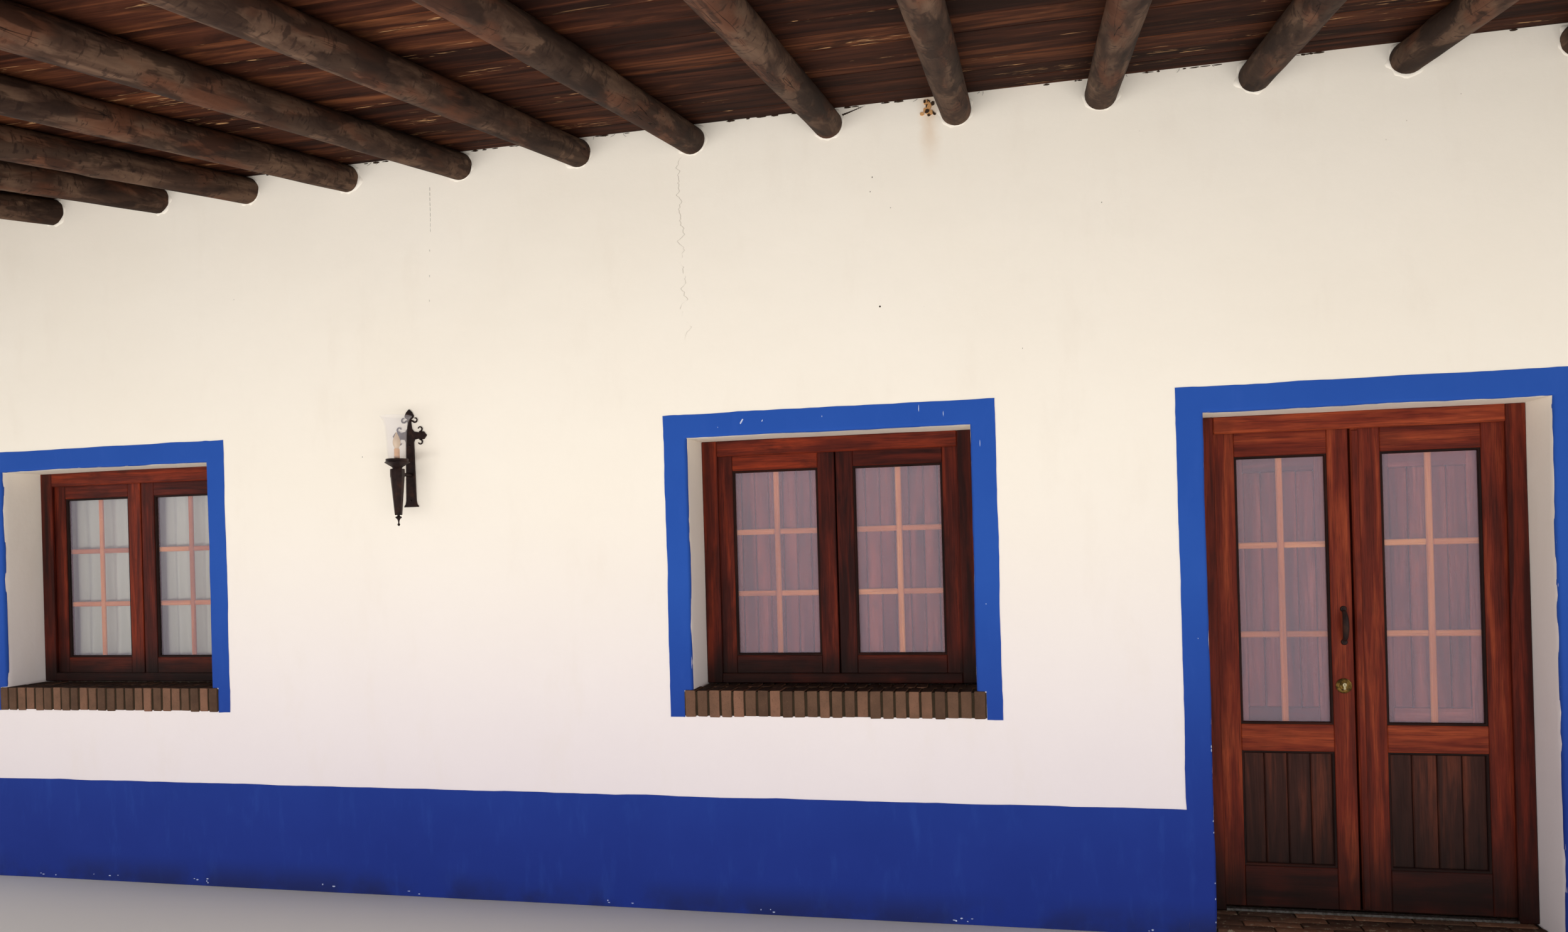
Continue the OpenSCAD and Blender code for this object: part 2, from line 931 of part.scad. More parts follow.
module back_roof_tiles() {
    to_back() roof_tiles();
}

// Half-round ridge tiles, bedded over the meeting of the two slopes
module ridge_tiles() {
    bore_r = ridge_tile_r - ridge_tile_t;
    crest = roof_z(mid_y) + roof_t / cos(roof_pitch);
    z = crest - bore_r * tan_roof + seat;
    color("peru") difference() {
        translate([-half_l - verge, mid_y, z]) rotate([0, 90, 0])
            cylinder(h = house_l + 2 * verge, r = ridge_tile_r);
        translate([-half_l - verge - over, mid_y, z]) rotate([0, 90, 0])
            cylinder(h = house_l + 2 * verge + 2 * over, r = bore_r);
        block([-beyond, 0, 0], [beyond, house_d, z]);
    }
}

// Lamp

// Flat plate with a flared foot, a pointed finial and a curled cross arm
module lamp_bracket() {
    half_w = lamp_w / 2;
    flare = 11;
    tip = 26;
    tip_w = 20;
    neck_w = 9;
    arm = 70;
    arm_h = 34;
    bud_r = 19;
    curl_x = arm - 12;
    color("black") translate([lamp_x, 0, lamp_z]) {
        rotate([90, 0, 0]) linear_extrude(lamp_t) {
            polygon([
                [-half_w - flare, 0], [half_w + flare, 0], [half_w + flare - 2, 12],
                [half_w, 34], [half_w - 5, arm_z], [neck_w, arm_z + 60],
                [tip_w, lamp_h - tip], [0, lamp_h], [-tip_w, lamp_h - tip],
                [-neck_w, arm_z + 60], [-half_w + 5, arm_z], [-half_w, 34],
                [-half_w - flare + 2, 12]
            ]);
            for (side = [-1, 1]) scale([side, 1]) {
                translate([0, arm_z - arm_h / 2]) square([arm, arm_h]);
                translate([arm, arm_z]) circle(r = bud_r);
                curl(curl_x, arm_z + 24);
                scale([1, -1]) curl(curl_x, -arm_z + 24);
                curl(tip_w + 6, lamp_h - tip - 6);
            }
        }
        translate([0, 0, stay_z]) rotate([90, 0, 0])
            cylinder(h = lamp_reach - body_r(stay_z + torch_drop + stay_r) - seat, r = stay_r);
    }
}

// A small curled leaf end
module curl(x, z) {
    translate([x, z]) difference() {
        circle(r = 12);
        circle(r = 6);
        translate([-14, -14]) square([14, 18]);
    }
}

// Radius of the torch's tapered body at a height above its finial
function body_r(h) = torch_foot_r
    + (h - finial_h) / (neck_z - finial_h) * (torch_r - torch_foot_r);

// Torch: finial, tapered body, neck and cup, all turned
module lamp_torch() {
    knob = finial_h / 8;
    inner_r = chimney_foot_r + seat;
    color("black") translate([lamp_x, -lamp_reach, lamp_z - torch_drop]) rotate_extrude() polygon([
        [0, 0], [knob, knob / 2], [knob - 1, 2 * knob], [1.5 * knob, 4.5 * knob],
        [2.2 * knob, 6 * knob], [knob + 1, 7.2 * knob], [knob + 1, 7.6 * knob],
        [torch_foot_r, finial_h], [torch_r, neck_z], [torch_r, neck_z + knob],
        [0.6 * torch_r, neck_z + 1.5 * knob], [0.75 * torch_r, neck_z + 2 * knob],
        [cup_r - 4, torch_h - 10], [cup_r, torch_h - 4], [cup_r - 6, torch_h],
        [cup_r - 6, torch_h + 10], [inner_r + 1, torch_h + 10], [inner_r + 1, torch_h],
        [0, torch_h]
    ]);
}

module lamp_glass() {
    flare = 6;
    lip_h = 12;
    waist_r = chimney_foot_r + flare + 2;
    color("lightblue", 0.4) translate([lamp_x, -lamp_reach, cup_z + seat])
        rotate_extrude() polygon([
            [chimney_foot_r - chimney_t, 0], [chimney_foot_r, 0],
            [waist_r, chimney_h / 2], [chimney_r - flare, chimney_h - lip_h],
            [chimney_r, chimney_h], [chimney_r - chimney_t, chimney_h],
            [chimney_r - flare - chimney_t, chimney_h - lip_h],
            [waist_r - chimney_t, chimney_h / 2]
        ]);
}

module lamp_bulb() {
    color("wheat") translate([lamp_x, -lamp_reach, cup_z]) rotate_extrude() polygon([
        [0, 0], [13, 0], [13, 58], [16, 64], [18, 80], [15, 100], [8, 118], [3, 130], [0, 134]
    ]);
}

translate([0, centre_y, 0]) {
    floor_slab();
    threshold();
    front_wall_left();
    front_wall_right();
    front_wall_over_door();
    front_wall_head();
    back_wall();
    gable_walls();
    dado();
    window_surrounds();
    door_surround();
    window_frames();
    window_sashes();
    window_glass();
    window_sills();
    window_shutters();
    curtain_rod();
    curtains();
    door_frame();
    weather_bar();
    hinge_pins();
    left_leaf();
    left_leaf_panel();
    left_leaf_glass();
    left_leaf_shutter();
    left_leaf_hinges();
    door_handle();
    door_lock();
    right_leaf();
    right_leaf_panel();
    right_leaf_glass();
    right_leaf_shutter();
    right_leaf_hinges();
    cover_strip();
    porch_poles();
    porch_beam();
    porch_posts();
    porch_boards();
    porch_tiles();
    rafters();
    ridge_board();
    roof_boards();
    front_roof_tiles();
    back_roof_tiles();
    ridge_tiles();
    lamp_bracket();
    lamp_torch();
    lamp_glass();
    lamp_bulb();
}
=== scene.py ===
"""Finishes and fine pieces of a limewashed farmhouse with a porch of round poles.

Metres, in the frame of the solids: +X along the front, +Y into the house, +Z up.
"""

import math
import random

import bpy
from mathutils import Matrix, Vector, noise


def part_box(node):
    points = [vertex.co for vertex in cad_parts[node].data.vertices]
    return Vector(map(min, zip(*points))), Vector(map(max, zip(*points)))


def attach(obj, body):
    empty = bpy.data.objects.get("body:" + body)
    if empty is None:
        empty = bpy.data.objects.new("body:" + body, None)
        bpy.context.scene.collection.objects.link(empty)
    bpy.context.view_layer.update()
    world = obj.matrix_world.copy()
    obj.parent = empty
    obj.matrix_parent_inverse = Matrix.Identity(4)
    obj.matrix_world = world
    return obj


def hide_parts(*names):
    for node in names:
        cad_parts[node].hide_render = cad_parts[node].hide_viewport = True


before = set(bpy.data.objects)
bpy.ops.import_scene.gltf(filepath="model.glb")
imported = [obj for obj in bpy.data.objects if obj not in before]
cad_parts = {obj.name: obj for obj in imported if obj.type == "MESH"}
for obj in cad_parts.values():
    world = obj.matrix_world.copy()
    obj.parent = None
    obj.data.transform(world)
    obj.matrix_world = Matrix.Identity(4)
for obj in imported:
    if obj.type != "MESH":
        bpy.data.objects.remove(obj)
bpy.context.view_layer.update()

# Walls and openings, as in the solids
FACE, INNER = (corner.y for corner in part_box("front_wall_head"))
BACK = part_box("back_wall")[1].y
HALF_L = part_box("front_wall_head")[1].x
WALL_T = INNER - FACE
MID_Y = (FACE + BACK) / 2
LINTEL_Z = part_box("door_frame")[1].z
SILL_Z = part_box("window_frames")[0].z
FLOOR_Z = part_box("floor_slab")[1].z
DADO_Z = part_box("dado")[1].z
WIN_W = 1.25
LEFT_WIN_X = -2.916
MID_WIN_X = 0.835
BACK_WIN_X = 2.3
DOOR_L, DOOR_R = (corner.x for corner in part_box("door_frame"))
BAND_W = 0.104
BRICK_H = 0.12
BRICK_R = 0.004
SILL_EAR = 0.038
REVEAL = 0.23

# Roof
ROOF_PITCH = math.radians(22)
PORCH_PITCH = math.radians(9.5)
EAVES_Z = 3.76997
CEILING_Z = 3.496
VERGE_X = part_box("roof_boards")[1].x

# Rounded arrises and corners of the plaster, and how close its points stand
ARRIS_R = 0.012
CORNER_R = 0.04
WALL_STEP = 0.085

MATT_SHINE = 0.12
SQUARE = ((0, 0), (1, 0), (1, 1), (0, 1))


def srgb(red, green, blue):
    """Linear colour from an eight-bit one."""
    def linear(value):
        value = value / 255
        return value / 12.92 if value <= 0.04045 else ((value + 0.055) / 1.055) ** 2.4
    return (linear(red), linear(green), linear(blue), 1.0)


def angles(count):
    """Angles evenly round a circle."""
    return [2 * math.pi * k / count for k in range(count)]


# Meshes


class Build:
    """Gathers vertices and faces, with a grain coordinate and a tone for each vertex.

    What is added is moved by place, and draws its tone and grain from rng.
    """

    def __init__(self, rng=None, place=None):
        self.rng = rng
        self.place = place
        self.points = []
        self.faces = []
        self.slots = []
        self.grain = []
        self.tone = []

    def add(self, points, faces, grain=None, tone=0.5, slot=0):
        """Adds a shape. grain holds a point's place along, across and through its board."""
        first = len(self.points)
        if self.place is not None:
            points = [self.place @ Vector(p) for p in points]
        self.points += [tuple(p) for p in points]
        self.faces += [tuple(first + i for i in face) for face in faces]
        self.slots += [slot] * len(faces)
        self.grain += [tuple(g) for g in (grain or points)]
        self.tone += [tone] * len(points)

    def loft(self, rings, grain=None, tone=0.5, slot=0, flip=False, ends=True, closed=False):
        """Adds rings of points, each joined to the next, with flat ends."""
        sides = len(rings[0])
        points = [p for ring in rings for p in ring]
        faces = []
        for ring in range(len(rings) - (not closed)):
            a, b = ring * sides, (ring + 1) % len(rings) * sides
            for k in range(sides):
                n = (k + 1) % sides
                faces.append((a + k, a + n, b + n, b + k))
        if ends:
            faces += [tuple(range(sides))[::-1], tuple(range(len(points) - sides, len(points)))]
        if flip:
            faces = [face[::-1] for face in faces]
        self.add(points, faces, grain, tone, slot)

    def board(self, low, high, along, edge=0.002, tone=None, slot=0):
        """Adds a chamfered board between two corners. Its grain runs along axis 0, 1 or 2."""
        if tone is None:
            tone = self.rng.random()
        low, high = Vector(low), Vector(high)
        edge = min(edge, min(high - low) * 0.45)
        points = []
        index = {}
        for corner in range(8):
            for axis in range(3):
                point = Vector()
                for k in range(3):
                    inset = 0 if k == axis else edge
                    point[k] = high[k] - inset if corner >> k & 1 else low[k] + inset
                index[corner, axis] = len(points)
                points.append(point)
        faces = []
        for axis in range(3):
            u, v = (axis + 1) % 3, (axis + 2) % 3
            for end in (0, 1):
                loop = [index[end << axis | du << u | dv << v, axis] for du, dv in SQUARE]
                faces.append(loop if end else loop[::-1])
            for du, dv in SQUARE:
                a = du << u | dv << v
                b = a | 1 << axis
                loop = [index[a, u], index[b, u], index[b, v], index[a, v]]
                faces.append(loop if du == dv else loop[::-1])
        for corner in range(8):
            loop = [index[corner, axis] for axis in range(3)]
            faces.append(loop if bin(corner).count("1") % 2 else loop[::-1])
        across, through = [(1, 2), (0, 2), (0, 1)][along]
        shift = Vector([self.rng.uniform(0, 40) for _ in range(3)])
        grain = [Vector((p[along], p[across], p[through])) + shift for p in points]
        self.add(points, faces, grain, tone, slot)

    def block(self, low, high, rough):
        """Adds a brick with rounded, slightly chipped corners."""
        tone = self.rng.random()
        size = [b - a for a, b in zip(low, high)]
        ticks = []
        for length in size:
            r = min(BRICK_R, length * 0.4)
            middle = max(1, round((length - 2 * r) / 0.04))
            inner = [r + (length - 2 * r) * k / middle for k in range(1, middle)]
            ticks.append([0, r, *inner, length - r, length])
        seed = Vector([self.rng.uniform(0, 90) for _ in range(3)])
        index = {}
        points = []
        grain = []

        def corner(spot):
            if spot not in index:
                p = Vector([ticks[a][spot[a]] for a in range(3)])
                core = [size[a] / 2 for a in range(3)]
                for a in range(3):
                    if size[a] > 2 * BRICK_R:
                        core[a] = min(max(p[a], BRICK_R), size[a] - BRICK_R)
                away = p - Vector(core)
                if away.length > BRICK_R:
                    p = Vector(core) + away.normalized() * BRICK_R
                p += Vector([noise.noise(p * 28 + seed + Vector((9 * a, 0, 0))) * rough for a in range(3)])
                grain.append(p + seed)
                index[spot] = len(points)
                points.append(p + Vector(low))
            return index[spot]

        faces = []
        last = [len(t) - 1 for t in ticks]
        for axis in range(3):
            u, v = (axis + 1) % 3, (axis + 2) % 3
            for end in (0, last[axis]):
                for a in range(last[u]):
                    for b in range(last[v]):
                        loop = []
                        for da, db in SQUARE:
                            spot = [end] * 3
                            spot[u], spot[v] = a + da, b + db
                            loop.append(corner(tuple(spot)))
                        faces.append(loop if end else loop[::-1])
        self.add(points, faces, grain, tone)

    def pipe(self, x, y, length, radii, rises, thick, up, pieces):
        """Adds one tapered roof tile, open below when up and above when not."""
        tone = self.rng.random()
        turn = 1 if up else -1
        points = []
        for end in (0, 1):
            for r in (radii[end], radii[end] - thick):
                for k in range(pieces + 1):
                    angle = math.pi * k / pieces
                    rise = rises[end] + turn * r * math.sin(angle)
                    points.append(Vector((x + r * math.cos(angle), y + length * end, rise)))
        n = pieces + 1
        faces = [(0, 2 * n, 3 * n, n), (n - 1, 2 * n - 1, 4 * n - 1, 3 * n - 1)]
        for k in range(pieces):
            faces.append((k, k + 1, 2 * n + k + 1, 2 * n + k))
            faces.append((n + k, 3 * n + k, 3 * n + k + 1, n + k + 1))
            faces.append((k, n + k, n + k + 1, k + 1))
            faces.append((2 * n + k, 2 * n + k + 1, 3 * n + k + 1, 3 * n + k))
        if up:
            faces = [face[::-1] for face in faces]
        shift = Vector([self.rng.uniform(0, 30) for _ in range(3)])
        self.add(points, faces, [p + shift for p in points], tone)

    def lathe(self, centre, profile, sides, slot=0, turn=None):
        """Adds a turned shape: profile is a list of radius and height, from axis to axis."""
        points = []
        grain = []
        rings = []
        for radius, height in profile:
            spots = [(radius * math.cos(a), radius * math.sin(a)) for a in angles(sides)]
            if radius < 1e-6:
                spots = [(0, 0)]
            rings.append(range(len(points), len(points) + len(spots)))
            points += [Vector((x, y, height)) for x, y in spots]
            grain += [(height, y, x) for x, y in spots]
        pairs = list(zip(rings, rings[1:]))
        if len(rings[0]) > 1 and len(rings[-1]) > 1:
            pairs.append((rings[-1], rings[0]))
        faces = []
        for low, high in pairs:
            for k in range(sides):
                n = (k + 1) % sides
                a, b, c, d = low[k % len(low)], low[n % len(low)], high[n % len(high)], high[k % len(high)]
                face = tuple(dict.fromkeys((a, b, c, d)))
                if len(face) > 2:
                    faces.append(face)
        spin = Matrix.Translation(centre) @ (turn or Matrix())
        self.add([spin @ p for p in points], faces, grain, slot=slot)

    def tube(self, path, radii, sides):
        """Adds a forged bar along a path, with a radius at each point."""
        path = [Vector(p) for p in path]
        side = None
        rings = []
        for k, p in enumerate(path):
            ahead = (path[min(k + 1, len(path) - 1)] - path[max(k - 1, 0)]).normalized()
            if side is None:
                side = ahead.orthogonal().normalized()
            side = (side - ahead * side.dot(ahead)).normalized()
            other = ahead.cross(side)
            rings.append([p + (side * math.cos(a) + other * math.sin(a)) * radii[k] for a in angles(sides)])
        self.loft(rings)

    def make(self, name, finishes, body="house", slot=None, replaces=(), sharp=35):
        """Makes the object, which rides on a body and may stand for solids."""
        mesh = bpy.data.meshes.new(name)
        mesh.from_pydata(self.points, [], self.faces)
        for finish in finishes if isinstance(finishes, list) else [finishes]:
            mesh.materials.append(finish)
        mesh.polygons.foreach_set("material_index", self.slots)
        grain = mesh.attributes.new("grain", "FLOAT_VECTOR", "POINT")
        grain.data.foreach_set("vector", [v for g in self.grain for v in g])
        tone = mesh.attributes.new("tone", "FLOAT", "POINT")
        tone.data.foreach_set("value", self.tone)
        mesh.polygons.foreach_set("use_smooth", [True] * len(self.faces))
        mesh.set_sharp_from_angle(angle=math.radians(sharp))
        mesh.validate()
        piece = bpy.data.objects.new(name, mesh)
        bpy.context.scene.collection.objects.link(piece)
        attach(piece, body)
        if replaces:
            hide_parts(*replaces)
        return piece


# Finishes


class Finish:
    """A node material round one principled shader, put together a step at a time."""

    def __init__(self, name, roughness=0.6, **sockets):
        self.material = bpy.data.materials.new(name)
        self.material.use_nodes = True
        self.tree = self.material.node_tree
        self.shader = self.tree.nodes["Principled BSDF"]
        self.last_bump = None
        sockets = {"Roughness": roughness, "Specular_IOR_Level": MATT_SHINE} | sockets
        for socket, value in sockets.items():
            self.shader.inputs[socket.replace("_", " ")].default_value = value

    def set(self, socket, value):
        """Sets a socket to a value or to another node's output."""
        if isinstance(value, bpy.types.NodeSocket):
            self.tree.links.new(value, socket)
        else:
            socket.default_value = value

    def node(self, kind, output, inputs, **settings):
        """Adds a node with inputs by name or number, and gives an output."""
        made = self.tree.nodes.new("ShaderNode" + kind)
        for key, value in settings.items():
            setattr(made, key, value)
        for key, value in inputs.items():
            self.set(made.inputs[key], value)
        return made.outputs[output]

    def place(self):
        """The point in the row frame."""
        return self.node("TexCoord", "Object", {})

    def grain(self):
        return self.node("Attribute", "Vector", {}, attribute_name="grain")

    def tone(self):
        return self.node("Attribute", "Fac", {}, attribute_name="tone")

    def axis(self, vector, which):
        return self.node("SeparateXYZ", which, {"Vector": vector})

    def stretch(self, vector, scale, shift=(0, 0, 0)):
        return self.node("Mapping", "Vector", {"Vector": vector, "Scale": scale, "Location": shift})

    def noise(self, vector, scale, detail=3.0, rough=0.5, warp=0.0):
        inputs = {"Vector": vector, "Scale": scale, "Detail": detail, "Roughness": rough, "Distortion": warp}
        return self.node("TexNoise", "Fac", inputs)

    def streaks(self, vector, scale, detail=3.0, rough=0.5, warp=0.0, shift=(0, 0, 0)):
        """Noise with a scale of its own along each axis."""
        return self.noise(self.stretch(vector, scale, shift), 1.0, detail, rough, warp)

    def cells(self, vector, scale, feature="F1"):
        return self.node("TexVoronoi", "Distance", {"Vector": vector, "Scale": scale}, feature=feature)

    def math(self, operation, *values):
        return self.node("Math", 0, dict(enumerate(values)), operation=operation)

    def times(self, first, second):
        return self.math("MULTIPLY", first, second)

    def plus(self, first, second):
        return self.math("ADD", first, second)

    def apart(self, first, second):
        """How far two values are from each other."""
        return self.math("ABSOLUTE", self.math("SUBTRACT", first, second))

    def span(self, value, low, high, to_low=0.0, to_high=1.0):
        """Maps a value's span to another, smoothly and clamped."""
        inputs = dict(enumerate((value, low, high, to_low, to_high)))
        return self.node("MapRange", "Result", inputs, interpolation_type="SMOOTHSTEP")

    def fade(self, value, low, high):
        """1 below low and 0 above high."""
        return self.span(value, low, high, 1.0, 0.0)

    def ramp(self, value, *stops):
        """A colour ramp with stops of place and colour."""
        colour = self.node("ValToRGB", "Color", {"Fac": value})
        elements = colour.node.color_ramp.elements
        while len(elements) < len(stops):
            elements.new(0.5)
        for element, (position, shade) in zip(elements, stops):
            element.position = position
            element.color = shade
        return colour

    def mix(self, share, first, second):
        return self.node("Mix", 2, {0: share, 6: first, 7: second}, data_type="RGBA")

    def tint(self, colour, share, most, other):
        """Mixes in another colour, by most of a share."""
        return self.mix(self.times(share, most), colour, other)

    def bump(self, height, depth, strength=1.0):
        """Raises the surface by height times depth in metres, on top of earlier bumps."""
        inputs = {"Height": height, "Distance": depth, "Strength": strength}
        if self.last_bump is not None:
            inputs["Normal"] = self.last_bump
        self.last_bump = self.node("Bump", "Normal", inputs)

    def done(self, colour, roughness=None):
        """Joins the colour, roughness and bumps to the shader."""
        self.set(self.shader.inputs["Base Color"], colour)
        if roughness is not None:
            self.set(self.shader.inputs["Roughness"], roughness)
        if self.last_bump is not None:
            self.set(self.shader.inputs["Normal"], self.last_bump)
        return self.material


CRACK_TOP = (0.207, 3.35)
CRACK_FOOT = 2.62
CRACK_LEAN = -0.025
CRACK_W = 0.0016
STAIN_X = 1.327
STAIN_TOP = 3.5


def limewash():
    """Cream limewash on uneven plaster, with painted shade that makes it a little pinker and duller near the
    ground.
    """
    f = Finish("limewash", 0.92)
    p = f.place()
    cloud = f.noise(p, 0.9, 4, 0.55)
    brush = f.noise(f.stretch(p, (2.2, 2.2, 0.7)), 3.0, 5, 0.6)
    cream = f.mix(cloud, srgb(245, 235, 218), srgb(250, 242, 229))
    # pale is a pinker, duller cream standing in for shade: painted shade, mixed in below about 2.1 m.
    pale = f.mix(cloud, srgb(232, 222, 225), srgb(240, 231, 232))
    colour = f.mix(f.span(f.axis(p, "Z"), 0.4, 2.1), pale, cream)
    colour = f.tint(colour, f.span(brush, 0.52, 0.75), 0.12, srgb(228, 214, 196))
    speck = f.times(f.fade(f.cells(p, 9.0), 0.0, 0.035), f.span(f.noise(p, 1.7, 2), 0.6, 0.66))
    colour = f.tint(colour, speck, 0.5, srgb(150, 128, 108))
    colour = rust(f, p, colour)
    f.bump(f.noise(p, 5.0, 4, 0.5), 0.006, 0.55)
    f.bump(brush, 0.002, 0.4)
    f.bump(f.noise(p, 60.0, 3, 0.6), 0.0008, 0.5)
    line = crack(f, p)
    f.bump(line, 0.002, 0.7)
    return f.done(f.mix(f.span(line, 0.0, 1.0, 0.45, 1.0), srgb(150, 128, 108), colour))


def crack(f, p):
    """A broken hairline crack that wanders down from a pole: 0 in the crack and 1 beside it."""
    x, z = f.axis(p, "X"), f.axis(p, "Z")
    sway = f.noise(f.stretch(p, (0, 0, 1)), 7.0, 4, 0.55)
    sway = f.times(f.math("SUBTRACT", sway, 0.5), 0.3)
    lean = f.times(f.math("SUBTRACT", z, CRACK_TOP[1]), CRACK_LEAN)
    line = f.span(f.apart(x, f.plus(f.plus(sway, lean), CRACK_TOP[0])), CRACK_W * 0.4, CRACK_W)
    above = f.span(z, CRACK_TOP[1], CRACK_TOP[1] + 0.02)
    below = f.fade(z, CRACK_FOOT - 0.1, CRACK_FOOT)
    inside = f.span(f.axis(p, "Y"), FACE + 0.05, FACE + 0.06)
    closed = f.span(f.noise(p, 26.0, 3, 0.6), 0.42, 0.62)
    for hidden in (above, below, inside, closed):
        line = f.math("MAXIMUM", line, hidden)
    return line


def rust(f, p, colour):
    """A rust stain that runs down from the broken plaster beside a pole."""
    ragged = f.times(f.noise(p, 16.0, 4, 0.6), 0.05)
    wide = f.fade(f.plus(f.apart(f.axis(p, "X"), STAIN_X), ragged), 0.02, 0.085)
    down = f.span(f.axis(p, "Z"), STAIN_TOP - 0.36, STAIN_TOP - 0.02, 0.0, 0.75)
    front = f.fade(f.axis(p, "Y"), FACE + 0.02, FACE + 0.03)
    return f.tint(colour, f.times(f.times(wide, down), front), 0.6, srgb(206, 156, 96))


def blue_paint():
    """Blue lime paint, darker towards the ground with painted shade, and dirty and scuffed at the foot."""
    f = Finish("blue_paint", 0.78)
    p = f.place()
    high = f.axis(p, "Z")
    cloud = f.noise(p, 2.2, 5, 0.6)
    brush = f.noise(f.stretch(p, (5, 5, 1.2)), 3.0, 4, 0.6)
    upper = f.mix(cloud, srgb(36, 76, 160), srgb(46, 88, 172))
    # lower is a darker copy of the blue: painted shade, mixed in below about 1.6 m.
    lower = f.mix(cloud, srgb(30, 48, 126), srgb(37, 58, 142))
    colour = f.mix(f.span(high, 0.2, 1.6), lower, upper)
    colour = f.tint(colour, f.span(brush, 0.52, 0.75), 0.16, srgb(56, 92, 176))
    dirt = f.times(f.span(high, 0.0, 0.16, 0.7, 0.0), f.span(cloud, 0.35, 0.6))
    colour = f.mix(dirt, colour, srgb(34, 38, 74))
    chips = f.fade(f.cells(f.stretch(p, (1, 1, 0.7)), 14.0), 0.0, 0.03)
    near_foot = f.times(f.fade(high, 0.02, 0.12), f.span(f.noise(p, 3.0, 2), 0.5, 0.6))
    colour = f.tint(colour, chips, near_foot, srgb(205, 205, 212))
    f.bump(f.noise(p, 5.0, 4, 0.5), 0.006, 0.5)
    f.bump(f.noise(p, 70.0, 3, 0.6), 0.0008, 0.5)
    return f.done(colour)


def timber(name, dark, middle, light, roughness=0.42, foot=None, patches=0.5):
    """Stained wood whose grain runs along each board. Foot gives the heights where dirt ends."""
    f = Finish(name, roughness, Coat_Roughness=0.16, Specular_IOR_Level=0.2)
    g = f.grain()
    figure = f.streaks(g, (1.7, 26, 26), 5, 0.58, 0.5)
    fibre = f.streaks(g, (7, 330, 330), 3, 0.6)
    cloud = f.streaks(g, (5, 13, 13), 4, 0.6)
    value = f.plus(f.times(figure, 0.62), f.times(f.tone(), 0.2))
    value = f.plus(value, f.times(cloud, 0.18))
    colour = f.ramp(value, (0.34, dark), (0.5, middle), (0.66, light))
    colour = f.tint(colour, f.span(cloud, 0.5, 0.7), patches, dark)
    colour = f.tint(colour, f.span(fibre, 0.52, 0.34), 0.5, dark)
    if foot:
        p = f.place()
        low = f.span(f.axis(p, "Z"), foot[0], foot[1], 0.93, 0.0)
        patchy = f.span(f.noise(p, 7.0, 3), 0.2, 0.6, 0.75, 1.0)
        colour = f.tint(colour, low, patchy, srgb(24, 14, 12))
    f.bump(fibre, 0.0005, 0.5)
    f.bump(figure, 0.0012, 0.25)
    return f.done(colour, f.span(fibre, 0.3, 0.7, roughness + 0.12, roughness - 0.08))


def pole_wood(name="pole_wood", end=False):
    """Weathered peeled pole: mottled grey-brown, with short dark scars and long cracks."""
    f = Finish(name, 0.8)
    g = f.grain()
    cloud = f.streaks(g, (3.0, 11, 11), 5, 0.62, 0.6)
    scars = f.streaks(g, (46, 24, 24), 3, 0.55, 0.4)
    cracks = f.streaks(g, (1.1, 26, 26), 2, 0.4)
    red = f.noise(f.stretch(g, (2.2, 7, 7)), 1.3, 3, 0.5)
    bark = f.streaks(g, (2.4, 9, 9), 4, 0.6, 0.3, (5, 3, 8))
    colour = f.ramp(cloud, (0.30, srgb(38, 27, 22)), (0.48, srgb(66, 48, 38)), (0.70, srgb(108, 84, 67)))
    colour = f.tint(colour, f.span(red, 0.50, 0.66), 0.55, srgb(98, 58, 39))
    dark_bark = f.times(f.span(bark, 0.50, 0.56), 0.62)
    colour = f.mix(dark_bark, colour, srgb(33, 23, 19))
    scar = f.times(f.span(scars, 0.56, 0.66), f.span(cloud, 0.40, 0.52))
    colour = f.tint(colour, scar, 0.62, srgb(32, 22, 19))
    line = f.times(f.fade(f.apart(cracks, 0.5), 0.0015, 0.007), f.span(red, 0.54, 0.6))
    if end:
        y, z = f.axis(g, "Y"), f.axis(g, "Z")
        radius = f.math("SQRT", f.plus(f.times(y, y), f.times(z, z)))
        rings = f.math("SINE", f.times(f.plus(radius, f.times(cloud, 0.006)), 1500))
        colour = f.mix(f.span(rings, -0.4, 0.9, 0.0, 0.4), srgb(120, 100, 82), srgb(72, 56, 46))
        way = f.node("VectorMath", 0, {0: f.stretch(g, (0, 1, 1))}, operation="NORMALIZE")
        colour = f.mix(f.span(f.noise(way, 4.0, 1), 0.60, 0.66), colour, srgb(30, 22, 18))
    else:
        colour = f.tint(colour, line, 0.8, srgb(16, 11, 9))
    f.bump(f.math("SUBTRACT", 1.0, line), 0.003, 0.6)
    f.bump(scar, 0.0015, -0.5)
    f.bump(dark_bark, 0.0025, 0.6)
    f.bump(cloud, 0.004, 0.6)
    return f.done(colour)


